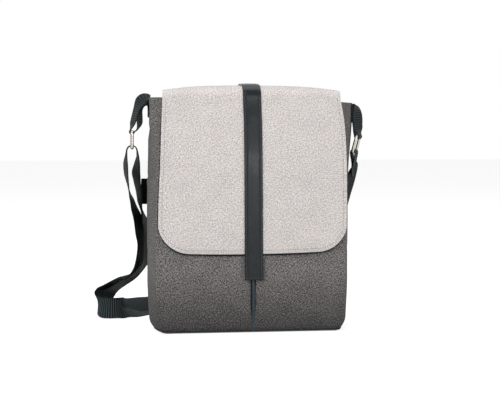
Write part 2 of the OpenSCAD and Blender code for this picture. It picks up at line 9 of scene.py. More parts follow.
import bmesh
import bpy
import numpy as np
from bpy.props import FloatProperty, FloatVectorProperty, IntProperty, PointerProperty
from bpy.types import Operator, Panel, PropertyGroup
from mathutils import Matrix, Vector


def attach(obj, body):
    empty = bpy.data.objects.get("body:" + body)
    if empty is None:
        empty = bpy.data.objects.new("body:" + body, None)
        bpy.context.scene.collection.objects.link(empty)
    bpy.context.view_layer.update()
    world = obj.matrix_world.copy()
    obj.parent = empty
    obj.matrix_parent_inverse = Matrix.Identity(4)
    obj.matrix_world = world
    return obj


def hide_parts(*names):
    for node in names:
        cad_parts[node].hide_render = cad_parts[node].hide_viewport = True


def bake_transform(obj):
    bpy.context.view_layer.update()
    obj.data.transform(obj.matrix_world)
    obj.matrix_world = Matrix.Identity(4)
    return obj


bl_info = {
    "name": "Trapeze bag",
    "version": (1, 0, 0),
    "blender": (4, 5, 0),
    "location": "View3D > Sidebar > Bag",
    "description": "Makes the fabric, leather, webbing and metal pieces of an upright flap bag",
    "category": "Object",
}

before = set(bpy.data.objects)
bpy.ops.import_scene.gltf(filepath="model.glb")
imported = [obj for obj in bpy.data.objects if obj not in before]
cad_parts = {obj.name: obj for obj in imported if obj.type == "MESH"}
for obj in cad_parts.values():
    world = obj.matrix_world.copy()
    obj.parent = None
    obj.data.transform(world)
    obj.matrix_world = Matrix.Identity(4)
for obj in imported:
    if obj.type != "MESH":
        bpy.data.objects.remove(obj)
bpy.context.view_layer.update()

# ---------------------------------------------------------------------------
# The bag's form, from the same sizes as the solids, in millimetres
# ---------------------------------------------------------------------------

BODY_H, BODY_W, MOUTH_W = 283.0, 230.0, 222.0
BASE_DEPTH, MOUTH_DEPTH = 85.0, 60.0
BODY_T, BELLY, CORNER_R, EDGE_R = 2.4, 3.0, 15.0, 8.0
GUSSET_BULGE, EAR_LEFT, EAR_RIGHT, EAR_DROP, EAR_START = 9.0, 12.0, 20.0, 6.0, 150.0
BASE_T, BASE_LIP, LIP_T = 1.8, 4.5, 1.2
BOARD_T, LINING_T, LINING_GAP, LINING_RIM = 2.5, 0.6, 1.2, 4.0
FLAP_TOP_W, FLAP_W, FLAP_DROP = 215.0, 227.0, 188.0
FLAP_T, FLAP_LINING_T, LINING_SHOW = 2.5, 0.8, 0.8
ARCH_H, ARCH_CROWN, HEM_H, FLAP_CLEAR = 11.0, 3.0, 26.0, 0.6
STRIP_W, STRIP_T, STRIP_REACH = 22.0, 2.2, 29.0
WEB_W, WEB_T, WIRE_D, RING_W, RING_H = 25.0, 1.3, 3.8, 27.0, 16.0
TAB_DENT, TAB_DROP_LEFT, TAB_DROP_RIGHT = 3.4, 0.6, 1.2
PINCH, MOUTH_FALL = 2.6, 5.2
TAB_SEWN, LEFT_OUT, RIGHT_OUT, RING_DROP = 24.0, 19.4, 6.8, 41.5
RIGHT_YAW, RIGHT_LEAN = math.radians(20), math.radians(15)
SLIDER_Y, SLIDER_BAR_D, SLIDER_T, LAP_L = 152.0, 3.0, 2.4, 30.0
LABEL_H, LABEL_W, LABEL_Z = 32.0, 13.0, 151.0

SEAM, LOOP_GAP = 0.05, 0.35
FOLD_Z = BODY_H - 2
FLAP_Z = FOLD_Z - FLAP_DROP
STRIP_Z = FLAP_Z - STRIP_REACH
FACE_IN = FLAP_LINING_T + SEAM
FACE_OUT = FACE_IN + FLAP_T
STRIP_IN = FACE_OUT + SEAM
RING_LOOP_R = WIRE_D / 2 + LOOP_GAP + WEB_T / 2
BAR_LOOP_R = SLIDER_BAR_D / 2 + LOOP_GAP + WEB_T / 2
LAYER = WEB_T + 0.2
RING_PITCH = RING_H + WIRE_D
SLIDER_H = WEB_W + 1.5 + 6
MM = 0.001


def lerp(a, b, t):
    return a + (b - a) * t


def ease(t):
    t = np.clip(t, 0, 1)
    return t * t * (3 - 2 * t)


def bump(x, middle, width):
    """A smooth hump of height 1."""
    return np.exp(-(((x - middle) / width) ** 2))


def tuck(z, r):
    z = np.minimum(np.asarray(z, float), r)
    return r - np.sqrt(np.maximum(0, r * r - (r - z) ** 2))


def half_w(z):
    return lerp(BODY_W, MOUTH_W, ease((z - EAR_START) / (BODY_H - EAR_START))) / 2 - tuck(z, CORNER_R)


def half_d(z):
    return lerp(BASE_DEPTH, MOUTH_DEPTH, np.asarray(z, float) / BODY_H) / 2 - tuck(z, EDGE_R)


def settle(p):
    """The mouth hangs lower towards the right gusset, and the sides draw in towards the base."""
    out = p.copy()
    pinch = PINCH * np.sign(p[..., 0]) * (2 * np.abs(p[..., 0]) / BODY_W) ** 2
    out[..., 0] -= pinch * ease((66 - p[..., 2]) / 60)
    out[..., 2] -= MOUTH_FALL * ease((p[..., 0] - 62) / 50) * (np.clip(p[..., 2], 0, BODY_H) / BODY_H) ** 8
    return out


def belly_at(z):
    return BELLY * np.sin(np.pi * np.clip(np.asarray(z, float) / BODY_H, 0, 1))


def spread(z, ear):
    return lerp(GUSSET_BULGE, ear, ease((z - EAR_START) / (BODY_H - EAR_START)))


def ridge(s):
    return 1 - np.abs(s) ** 1.7


def on_front(x, z, off):
    y = -half_d(z) - belly_at(z) * (1 - (x / half_w(z)) ** 2) - off
    return np.stack(np.broadcast_arrays(x, y, z), -1).astype(float)


def on_back(x, z, off):
    y = half_d(z) + belly_at(z) * (1 - (x / half_w(z)) ** 2) + off
    return np.stack(np.broadcast_arrays(x, y, z), -1).astype(float)


def tab_dent(s, z, ear):
    """The left tab's seam pulls the middle of the gusset in, and its front rolls out before it."""
    top = ease((z - 230) / 24)
    roll = spread(z, ear) * (ridge(0.0) - ridge(-0.62)) * bump(s, -0.66, 0.3) * (1 - 0.16 * bump(z, 268, 11))
    return top * (0.94 * roll - TAB_DENT * ease((0.62 - np.abs(s)) / 0.16))


def on_gusset(s, z, side, ear, drop, off):
    x = side * (half_w(z) + spread(z, ear) * ridge(s) + off + (tab_dent(s, z, ear) if side < 0 else 0))
    y = s * (half_d(z) - BODY_T - SEAM)
    zz = z - drop * ridge(s) * (z / BODY_H) ** 6
    return np.stack(np.broadcast_arrays(x, y, zz), -1).astype(float)


def gusset_out(ear, yaw):
    z = FOLD_Z - TAB_SEWN / 2
    s = np.arange(0, 0.601, 0.05)
    return float(half_w(z) + np.max(spread(z, ear) * ridge(s) + s * half_d(z) * math.tan(yaw)))


ARCH_POWER = 0.72


def arch(x, a, off):
    """The flap over the mouth: a is 0 at the front fold and pi at the back fold."""
    front, back = -half_d(FOLD_Z) - FLAP_CLEAR, half_d(FOLD_Z) + 0.3
    reach = (back - front) / 2 + off
    rise = ARCH_H + ARCH_CROWN * (1 - (2 * x / FLAP_TOP_W) ** 2) + off
    c, s = np.cos(a), np.maximum(0, np.sin(a))
    y = (front + back) / 2 - reach * np.sign(c) * np.abs(c) ** ARCH_POWER
    return np.stack(np.broadcast_arrays(x, y, FOLD_Z + rise * s ** ARCH_POWER), -1).astype(float)


def body_outline(z, inset, nx=64, ns=24):
    """The body's outline at a height, anticlockwise from above."""
    w, d, b = half_w(z) - inset, half_d(z) - inset, belly_at(z)
    u = np.arange(nx) * 2 / nx - 1
    s = np.arange(ns) * 2 / ns - 1
    front = np.stack([w * u, -d - b * (1 - u * u)], -1)
    right = np.stack([w + spread(z, EAR_RIGHT) * ridge(s), s * d], -1)
    back = np.stack([-w * u, d + b * (1 - u * u)], -1)
    left = np.stack([-w - spread(z, EAR_LEFT) * ridge(s), -s * d], -1)
    p = np.vstack([front, right, back, left])
    return np.hstack([p, np.full((len(p), 1), float(z))])


# ---------------------------------------------------------------------------
# Meshes
# ---------------------------------------------------------------------------


def make_mesh(name, points, faces, uvs=None, materials=(), sharp=35):
    """A smooth-shaded object from points in millimetres. uvs is one pair for each point."""
    mesh = bpy.data.meshes.new(name)
    mesh.from_pydata((np.asarray(points, float) * MM).tolist(), [], [tuple(int(i) for i in f) for f in faces])
    for m in materials:
        mesh.materials.append(m)
    if uvs is not None:
        layer = mesh.uv_layers.new(name="UVMap")
        corner = np.empty(len(mesh.loops), np.int32)
        mesh.loops.foreach_get("vertex_index", corner)
        layer.data.foreach_set("uv", np.asarray(uvs, float)[corner].astype(np.float32).ravel())
    mesh.polygons.foreach_set("use_smooth", np.ones(len(mesh.polygons), bool))
    mesh.update()
    mesh.set_sharp_from_angle(angle=math.radians(sharp))
    obj = bpy.data.objects.new(name, mesh)
    bpy.context.scene.collection.objects.link(obj)
    return obj


def gaps(points):
    """Distance from each point of a line to the next."""
    return np.linalg.norm(np.diff(points[:, :3], axis=0), axis=1)


def added_up(distances):
    """Distance from a line's start at each of its points."""
    return np.concatenate([[0], np.cumsum(distances)])


def grid_lengths(grid):
    """Lengths along the columns and the rows of a grid, in metres, for a weave that follows it."""
    du = np.linalg.norm(np.diff(grid, axis=1), axis=2).mean(0)
    dv = np.linalg.norm(np.diff(grid, axis=0), axis=2).mean(1)
    u, v = added_up(du) * MM, added_up(dv) * MM
    return np.stack(np.meshgrid(u - u[-1] / 2, v), -1)


def closed_sheet(name, outer, inner, material):
    """A closed sheet between two grids. Rows run up and columns run right, seen from outside."""
    rows, cols = outer.shape[:2]
    n = rows * cols
    faces = []
    for i in range(rows - 1):
        for j in range(cols - 1):
            a = i * cols + j
            b, d = a + 1, a + cols
            e = d + 1
            faces += [(a, b, e, d), (n + a, n + d, n + e, n + b)]
    for j in range(cols - 1):
        a, b, p = j, j + 1, (rows - 1) * cols + j
        q = p + 1
        faces += [(a, n + a, n + b, b), (q, n + q, n + p, p)]
    for i in range(rows - 1):
        a = i * cols
        d, b = a + cols, a + cols - 1
        e = b + cols
        faces += [(d, n + d, n + a, a), (b, n + b, n + e, e)]
    uv = grid_lengths(outer).reshape(-1, 2)
    points = np.vstack([outer.reshape(-1, 3), inner.reshape(-1, 3)])
    return make_mesh(name, points, faces, np.vstack([uv, uv]), [material])


def round_edges(obj, width, segments=3):
    """Rounds the edges of a closed sheet and applies it, so that the mesh is final."""
    mod = obj.modifiers.new("Rounded edges", "BEVEL")
    mod.width = width * MM
    mod.segments = segments
    mod.limit_method = "ANGLE"
    mod.angle_limit = math.radians(55)
    bake(obj)
    return obj


def bake(obj):
    """Turns the evaluated object into its own plain mesh."""
    graph = bpy.context.evaluated_depsgraph_get()
    mesh = bpy.data.meshes.new_from_object(obj.evaluated_get(graph))
    old = obj.data
    obj.modifiers.clear()
    obj.data = mesh
    if old.users == 0:
        bpy.data.meshes.remove(old)
    return obj


def ring_solid(name, rings, material, sharp=35):
    """A closed solid through rings, each anticlockwise seen from the far end, with fans at its ends."""
    count, m = len(rings), len(rings[0])
    points = np.vstack(rings + [rings[0].mean(0)[None], rings[-1].mean(0)[None]])
    near, far, last = count * m, count * m + 1, (count - 1) * m
    faces = []
    for k in range(count - 1):
        for j in range(m):
            a, b = k * m + j, k * m + (j + 1) % m
            faces.append((a, b, b + m, a + m))
    for j in range(m):
        b = (j + 1) % m
        faces += [(near, b, j), (far, last + j, last + b)]
    around = added_up(gaps(rings[0])) * MM
    along = added_up([np.linalg.norm(b - a, axis=1).mean() for a, b in zip(rings, rings[1:])]) * MM
    uv = [(u, v) for v in along for u in around] + [(0, 0), (0, along[-1])]
    return make_mesh(name, points, faces, uv, [material], sharp)


def unit(v):
    return v / np.maximum(np.linalg.norm(v, axis=-1, keepdims=True), 1e-12)


def curve(points, steps):
    """A smooth curve through points of any number of coordinates."""
    p = np.asarray(points, float)
    n = len(p) - 1
    out = []
    for i in range(n):
        a, b, c, d = p[max(0, i - 1)], p[i], p[i + 1], p[min(n, i + 2)]
        for k in range(steps):
            t = k / steps
            bend_part = (2 * a - 5 * b + 4 * c - d) * t * t + (3 * b - a - 3 * c + d) * t ** 3
            out.append(0.5 * (2 * b + (c - a) * t + bend_part))
    return np.array(out + [p[n]])


def even(points, step):
    """The same line with its stations spread evenly."""
    at = added_up(gaps(points))
    n = max(2, int(round(at[-1] / step)) + 1)
    want = np.linspace(0, at[-1], n)
    return np.stack([np.interp(want, at, points[:, k]) for k in range(points.shape[1])], -1)


BAND_ROUNDING = 0.42


def band_frames(stations):
    """Place, width direction and face direction at each station of a band."""
    p = stations[:, :3]
    t = np.empty_like(p)
    t[1:-1] = p[2:] - p[:-2]
    t[0], t[-1] = p[1] - p[0], p[-1] - p[-2]
    t = unit(t)
    normal = unit(np.cross(t, stations[:, 3:6]))
    return p, np.cross(normal, t), normal


def band(name, stations, width, thick, material, start=0.0):
    """Webbing along stations. Its map runs 0 to 1 across the webbing and in metres along it."""
    p, wide, normal = band_frames(stations)
    r = thick * BAND_ROUNDING
    section = []
    for cx, cy, a0 in ((width / 2 - r, thick / 2 - r, 0), (-width / 2 + r, thick / 2 - r, 90),
                       (-width / 2 + r, -thick / 2 + r, 180), (width / 2 - r, -thick / 2 + r, 270)):
        for a in (a0 + 5, a0 + 45, a0 + 85):
            section.append((cx + r * math.cos(math.radians(a)), cy + r * math.sin(math.radians(a))))
    # columns across both faces let the webbing cup a little
    columns = [k / 6 - 0.5 for k in range(1, 6)]
    top = [(-c * (width - 2 * r), thick / 2) for c in columns]
    low = [(c * (width - 2 * r), -thick / 2) for c in columns]
    section = section[:3] + top + section[3:9] + low + section[9:]
    rings = [q + np.array([x * w + y * n for x, y in section]) for q, w, n in zip(p, wide, normal)]
    m = len(section)
    points = np.vstack(rings)
    faces = []
    for k in range(len(rings) - 1):
        for j in range(m):
            a, b = k * m + j, k * m + (j + 1) % m
            faces.append((a, a + m, b + m, b))
    faces.append(tuple(range(m)))
    last = (len(rings) - 1) * m
    faces.append(tuple(last + j for j in range(m - 1, -1, -1)))
    along = added_up(gaps(p)) * MM + start
    uv = [(x / width + 0.5, v) for v in along for x, _ in section]
    return make_mesh(name, points, faces, uv, [material], sharp=60)


def swept_tube(name, path, radius, material, sides=20):
    """A round wire along a closed path."""
    p = np.asarray(path, float)
    t = unit(np.roll(p, -1, 0) - np.roll(p, 1, 0))
    flat = unit(np.cross(p[1] - p[0], p[len(p) // 3] - p[0]))
    side = unit(np.cross(t, flat[None]))
    up = np.broadcast_to(flat, side.shape)
    angles = np.arange(sides) * 2 * np.pi / sides
    cos, sin = np.cos(angles)[None, :, None], np.sin(angles)[None, :, None]
    rings = p[:, None] + radius * (cos * side[:, None] + sin * up[:, None])
    n = len(p)
    faces = []
    for k in range(n):
        for j in range(sides):
            a, b = k * sides + j, k * sides + (j + 1) % sides
            c, d = (k + 1) % n * sides + (j + 1) % sides, (k + 1) % n * sides + j
            faces.append((a, b, c, d))
    obj = make_mesh(name, rings.reshape(-1, 3), faces, None, [material], sharp=60)
    return outward(obj)


def outward(obj):
    """Turns the faces of a closed mesh outwards."""
    bm = bmesh.new()
    bm.from_mesh(obj.data)
    bmesh.ops.recalc_face_normals(bm, faces=bm.faces)
    bm.to_mesh(obj.data)
    bm.free()
    return obj


# ---------------------------------------------------------------------------
# Shader helpers and shared effects
# ---------------------------------------------------------------------------


class Nodes:
    """Short forms for building one node tree."""

    def __init__(self, tree):
        self.tree = tree

    def add(self, kind, **values):
        node = self.tree.nodes.new(kind)
        for key, value in values.items():
            setattr(node, key, value)
        return node

    def put(self, socket, value):
        if hasattr(value, "is_output") or hasattr(value, "links"):
            self.tree.links.new(value, socket)
        else:
            socket.default_value = value

    def math(self, operation, *values, clamp=False):
        node = self.add("ShaderNodeMath", operation=operation, use_clamp=clamp)
        for socket, value in zip(node.inputs, values):
            self.put(socket, value)
        return node.outputs[0]

    def mix(self, factor, a, b, blend="MIX"):
        node = self.add("ShaderNodeMix", data_type="RGBA", blend_type=blend)
        self.put(node.inputs[0], factor)
        self.put(node.inputs[6], a)
        self.put(node.inputs[7], b)
        return node.outputs[2]

    def spread(self, value, low, high, to_low=0.0, to_high=1.0):
        node = self.add("ShaderNodeMapRange")
        for socket, v in zip(node.inputs, (value, low, high, to_low, to_high)):
            self.put(socket, v)
        return node.outputs[0]

    def noise(self, vector, scale, detail=3.0, rough=0.55):
        node = self.add("ShaderNodeTexNoise")
        self.put(node.inputs["Vector"], vector)
        node.inputs["Scale"].default_value = scale
        node.inputs["Detail"].default_value = detail
        node.inputs["Roughness"].default_value = rough
        return node.outputs[0]

    def split(self, vector):
        """The three parts of a vector."""
        node = self.add("ShaderNodeSeparateXYZ")
        self.put(node.inputs[0], vector)
        return node.outputs

    def mapping(self, vector, scale, location=(0, 0, 0)):
        node = self.add("ShaderNodeMapping")
        self.put(node.inputs["Vector"], vector)
        node.inputs["Scale"].default_value = scale
        node.inputs["Location"].default_value = location
        return node.outputs[0]


def new_group(name, inputs, outputs):
    """A shader node group with named sockets: (name, kind, default)."""
    tree = bpy.data.node_groups.new(name, "ShaderNodeTree")
    for label, kind, default in inputs:
        socket = tree.interface.new_socket(label, in_out="INPUT", socket_type=kind)
        if default is not None:
            socket.default_value = default
    for label, kind in outputs:
        tree.interface.new_socket(label, in_out="OUTPUT", socket_type=kind)
    n = Nodes(tree)
    return tree, n, n.add("NodeGroupInput").outputs, n.add("NodeGroupOutput").inputs


COLOUR, VALUE, VECTOR = "NodeSocketColor", "NodeSocketFloat", "NodeSocketVector"


def melange_group():
    """Woven cloth of mixed yarns: slubs along both threads, flecks, and the threads' own height."""
    name = "melange_weave"
    if name in bpy.data.node_groups:
        return bpy.data.node_groups[name]
    tree, n, i, o = new_group(
        name,
        [("Cloth map", VECTOR, None), ("Dark yarn", COLOUR, (0.05, 0.05, 0.05, 1)),
         ("Mid yarn", COLOUR, (0.1, 0.1, 0.1, 1)), ("Light yarn", COLOUR, (0.3, 0.3, 0.3, 1)),
         ("Fleck", VALUE, 0.5), ("Tint", VALUE, 1.0), ("Thread pitch", VALUE, 0.0011)],
        [("Colour", COLOUR), ("Height", VALUE), ("Fuzz", VALUE)],
    )
    cloth = i["Cloth map"]
    warp = n.noise(n.mapping(cloth, (1300, 420, 1)), 1.0, 1.0, 0.5)
    weft = n.noise(n.mapping(cloth, (420, 1300, 1), (7.3, 2.1, 0)), 1.0, 1.0, 0.5)
    grain = n.noise(n.mapping(cloth, (900, 900, 1), (3.1, 9.7, 0)), 1.0, 1.0, 0.6)
    hue = n.noise(n.mapping(cloth, (620, 620, 1), (5.5, 0.7, 0)), 1.0, 1.0, 0.5)
    patch = n.noise(n.mapping(cloth, (45, 45, 1), (1.3, 4.2, 0)), 1.0, 2.0, 0.5)
    yarns = n.math("ADD", n.math("MULTIPLY", warp, 0.5), n.math("MULTIPLY", weft, 0.5))
    mixed = n.math("ADD", n.math("MULTIPLY", yarns, 0.55), n.math("MULTIPLY", grain, 0.45))
    mixed = n.math("ADD", mixed, n.math("MULTIPLY", n.math("SUBTRACT", patch, 0.5), 0.05))
    dark = n.spread(mixed, 0.5, 0.43, 0.0, 1.0)
    light = n.spread(mixed, 0.5, 0.57, 0.0, 1.0)
    base = n.mix(n.math("MULTIPLY", dark, i["Fleck"]), i["Mid yarn"], i["Dark yarn"])
    yarn = n.mix(n.math("MULTIPLY", light, i["Fleck"]), base, i["Light yarn"])
    tint = n.mix(n.spread(hue, 0.4, 0.6), (1.08, 0.985, 0.95, 1), (0.93, 1.0, 1.04, 1))
    n.put(o["Colour"], n.mix(i["Tint"], yarn, n.mix(1.0, yarn, tint, "MULTIPLY")))
    parts = n.split(cloth)
    turn = n.math("DIVIDE", 2 * math.pi, i["Thread pitch"])
    over = n.math("SINE", n.math("MULTIPLY", parts[0], turn))
    under = n.math("SINE", n.math("MULTIPLY", parts[1], turn))
    weave = n.math("MULTIPLY", over, under)
    n.put(o["Height"], n.math("ADD", n.math("MULTIPLY", weave, 0.35), n.math("MULTIPLY", mixed, 0.9)))
    n.put(o["Fuzz"], n.spread(grain, 0.3, 0.7, 0.0, 1.0))
    return tree


def grain_group():
    """Leather: pebbled grain, pores, faint handling marks and a soft gloss that varies."""
    name = "leather_grain"
    if name in bpy.data.node_groups:
        return bpy.data.node_groups[name]
    tree, n, i, o = new_group(
        name,
        [("Place", VECTOR, None), ("Colour", COLOUR, (0.02, 0.03, 0.035, 1)),
         ("Worn colour", COLOUR, (0.06, 0.075, 0.08, 1)), ("Pebble size", VALUE, 900.0),
         ("Wear", VALUE, 0.3)],
        [("Colour", COLOUR), ("Roughness", VALUE), ("Height", VALUE)],
    )
    cells = n.add("ShaderNodeTexVoronoi", feature="F1")
    n.put(cells.inputs["Vector"], i["Place"])
    n.put(cells.inputs["Scale"], i["Pebble size"])
    fine = n.noise(i["Place"], 2600.0, 3.0)
    marks = n.noise(n.mapping(i["Place"], (60, 60, 25)), 1.0, 4.0, 0.65)
    worn = n.math("MULTIPLY", n.spread(marks, 0.52, 0.72), i["Wear"])
    n.put(o["Colour"], n.mix(worn, i["Colour"], i["Worn colour"]))
    n.put(o["Roughness"], n.math("ADD", n.spread(marks, 0.3, 0.7, 0.2, 0.32), n.math("MULTIPLY", fine, 0.08)))
    pebbles = n.math("MULTIPLY", cells.outputs["Distance"], 0.8)
    n.put(o["Height"], n.math("ADD", pebbles, n.math("MULTIPLY", fine, 0.35)))
    return tree


def webbing_group():
    """Ribbed webbing: ribs across the band, yarn ends along it, and a firmer selvedge."""
    name = "webbing_ribs"
    if name in bpy.data.node_groups:
        return bpy.data.node_groups[name]
    tree, n, i, o = new_group(
        name,
        [("Band map", VECTOR, None), ("Colour", COLOUR, (0.02, 0.028, 0.03, 1)),
         ("Rib colour", COLOUR, (0.06, 0.07, 0.075, 1)), ("Rib pitch", VALUE, 0.0016)],
        [("Colour", COLOUR), ("Roughness", VALUE), ("Height", VALUE)],
    )
    across, along, _ = n.split(i["Band map"])
    waver = n.noise(n.mapping(i["Band map"], (18, 260, 1)), 1.0, 2.0)
    phase = n.math("ADD", n.math("DIVIDE", along, i["Rib pitch"]),
                   n.math("MULTIPLY", n.math("SUBTRACT", waver, 0.5), 0.5))
    rib = n.math("MULTIPLY_ADD", n.math("SINE", n.math("MULTIPLY", phase, 2 * math.pi)), 0.5, 0.5)
    ends = n.math("MULTIPLY_ADD", n.math("SINE", n.math("MULTIPLY", across, 2 * math.pi * 26)), 0.5, 0.5)
    side = n.math("ABSOLUTE", n.math("SUBTRACT", across, 0.5))
    selvedge = n.spread(side, 0.44, 0.47)
    lint = n.noise(n.mapping(i["Band map"], (30, 900, 1), (5, 3, 0)), 1.0, 3.0, 0.7)
    # painted highlight: the rib crests take the lighter rib colour, as if lit
    lit = n.math("MULTIPLY", n.math("MULTIPLY", rib, rib), n.spread(lint, 0.3, 0.7, 0.45, 1.0))
    n.put(o["Colour"], n.mix(lit, i["Colour"], i["Rib colour"]))
    n.put(o["Roughness"], n.spread(lint, 0.3, 0.7, 0.5, 0.66))
    body = n.math("ADD", n.math("MULTIPLY", rib, 0.85), n.math("MULTIPLY", ends, 0.2))
    body = n.math("MULTIPLY", body, n.math("SUBTRACT", 1.0, n.math("MULTIPLY", selvedge, 0.6)))
    n.put(o["Height"], n.math("ADD", body, n.math("MULTIPLY", selvedge, 0.4)))
    return tree


def scuff_group():
    """Fine hairlines and handling marks on plated metal."""
    name = "plated_metal"
    if name in bpy.data.node_groups:
        return bpy.data.node_groups[name]
    tree, n, i, o = new_group(
        name,
        [("Place", VECTOR, None), ("Colour", COLOUR, (0.7, 0.68, 0.64, 1)),
         ("Dull colour", COLOUR, (0.5, 0.47, 0.42, 1))],
        [("Colour", COLOUR), ("Roughness", VALUE), ("Height", VALUE)],
    )
    cloud = n.noise(i["Place"], 180.0, 4.0)
    hair = n.noise(n.mapping(i["Place"], (400, 400, 4000)), 1.0, 2.0)
    n.put(o["Colour"], n.mix(n.spread(cloud, 0.5, 0.75), i["Colour"], i["Dull colour"]))
    rough = n.spread(cloud, 0.35, 0.7, 0.1, 0.24)
    n.put(o["Roughness"], n.math("ADD", rough, n.math("MULTIPLY", hair, 0.05)))
    n.put(o["Height"], hair)
    return tree


def rgba(c):
    return (c[0], c[1], c[2], 1.0)


def shade(c, k):
    return (c[0] * k, c[1] * k, c[2] * k, 1.0)


def new_material(name):
    """(material, node helper, shader, coordinate outputs) or None for the last three if it exists."""
    if name in bpy.data.materials:
        return bpy.data.materials[name], None, None, None
    material = bpy.data.materials.new(name)
    material.use_nodes = True
    material.node_tree.nodes.clear()
    n = Nodes(material.node_tree)
    shader = n.add("ShaderNodeBsdfPrincipled")
    out = n.add("ShaderNodeOutputMaterial")
    n.put(out.inputs["Surface"], shader.outputs["BSDF"])
    return material, n, shader, n.add("ShaderNodeTexCoord").outputs


def add_group(n, tree, **values):
    node = n.add("ShaderNodeGroup", node_tree=tree)
    for key, value in values.items():
        n.put(node.inputs[key.replace("_", " ")], value)
    return node


def add_bump(n, shader, height, distance, strength=1.0):
    node = n.add("ShaderNodeBump")
    node.inputs["Strength"].default_value = strength
    node.inputs["Distance"].default_value = distance
    n.put(node.inputs["Height"], height)
    n.put(shader.inputs["Normal"], node.outputs["Normal"])


def cloth_material(name, dark, mid, light, fleck, pitch=0.0011, relief=0.00022, sheen=0.25, rough=0.92,
                   tint=1.0, foot=None):
    material, n, shader, place = new_material(name)
    if n is None:
        return material
    weave = add_group(n, melange_group(), Cloth_map=place["UV"], Dark_yarn=dark, Mid_yarn=mid,
                      Light_yarn=light, Fleck=fleck, Tint=tint, Thread_pitch=pitch)
    colour = weave.outputs["Colour"]
    if foot is not None:
        # painted shade: the cloth is darkened towards the base, standing in for the shade under the body's
        # lower curve
        height = n.spread(n.split(place["Object"])[2], 0.002, 0.075)
        painted_base_shade = n.mix(height, (foot, foot, foot * 1.03, 1), (1, 1, 1, 1))
        colour = n.mix(1.0, colour, painted_base_shade, "MULTIPLY")
    n.put(shader.inputs["Base Color"], colour)
    n.put(shader.inputs["Roughness"], n.spread(weave.outputs["Fuzz"], 0.0, 1.0, rough - 0.08, rough))
    shader.inputs["Sheen Weight"].default_value = sheen
    shader.inputs["Sheen Roughness"].default_value = 0.5
    shader.inputs["Specular IOR Level"].default_value = 0.2
    add_bump(n, shader, weave.outputs["Height"], relief)
    return material


def leather_material(name, colour, worn, pebble=900.0, wear=0.3, relief=0.00012, gloss=0.22):
    material, n, shader, place = new_material(name)
    if n is None:
        return material
    hide = add_group(n, grain_group(), Place=place["Object"], Colour=colour, Worn_colour=worn,
                     Pebble_size=pebble, Wear=wear)
    n.put(shader.inputs["Base Color"], hide.outputs["Colour"])
    n.put(shader.inputs["Roughness"], hide.outputs["Roughness"])
    shader.inputs["Specular IOR Level"].default_value = gloss
    add_bump(n, shader, hide.outputs["Height"], relief, 0.6)
    return material


def webbing_material(name, colour, rib, pitch=0.0029, relief=0.0005, painted_rib_light=False):
    material, n, shader, place = new_material(name)
    if n is None:
        return material
    web = add_group(n, webbing_group(), Band_map=place["UV"], Colour=colour, Rib_colour=rib, Rib_pitch=pitch)
    shown = web.outputs["Colour"]
    if painted_rib_light:
        # painted highlight: the lighter rib colour shows only low down, on the floor, and just below the
        # rings, where the strap faces the light
        height = n.split(place["Object"])[2]
        low = n.spread(height, 0.022, 0.04, 1.0, 0.16)
        high = n.spread(height, 0.215, 0.235, 0.0, 0.4)
        shown = n.mix(n.math("ADD", low, high, clamp=True), colour, shown)
    n.put(shader.inputs["Base Color"], shown)
    n.put(shader.inputs["Roughness"], web.outputs["Roughness"])
    shader.inputs["Specular IOR Level"].default_value = 0.08
    add_bump(n, shader, web.outputs["Height"], relief)
    return material


def nickel_material(name, colour, dull):
    material, n, shader, place = new_material(name)
    if n is None:
        return material
    plate = add_group(n, scuff_group(), Place=place["Object"], Colour=colour, Dull_colour=dull)
    n.put(shader.inputs["Base Color"], plate.outputs["Colour"])
    n.put(shader.inputs["Roughness"], plate.outputs["Roughness"])
    shader.inputs["Metallic"].default_value = 1.0
    add_bump(n, shader, plate.outputs["Height"], 0.00001, 0.5)
    return material


def thread_material(name, colour):
    material, n, shader, place = new_material(name)
    if n is None:
        return material
    twist = n.noise(n.mapping(place["Object"], (2400, 2400, 2400)), 1.0, 2.0)
    n.put(shader.inputs["Base Color"], n.mix(n.spread(twist, 0.35, 0.65), shade(colour, 0.72), rgba(colour)))
    n.put(shader.inputs["Roughness"], n.spread(twist, 0.3, 0.7, 0.5, 0.7))
    add_bump(n, shader, twist, 0.0001)
    return material


def board_material(name):
    material, n, shader, place = new_material(name)
    if n is None:
        return material
    fibre = n.noise(n.mapping(place["Object"], (300, 900, 300)), 1.0, 4.0)
    n.put(shader.inputs["Base Color"],
          n.mix(n.spread(fibre, 0.35, 0.65), (0.2, 0.155, 0.1, 1), (0.31, 0.25, 0.17, 1)))
    n.put(shader.inputs["Roughness"], n.spread(fibre, 0.3, 0.7, 0.75, 0.9))
    add_bump(n, shader, fibre, 0.0001)
    return material


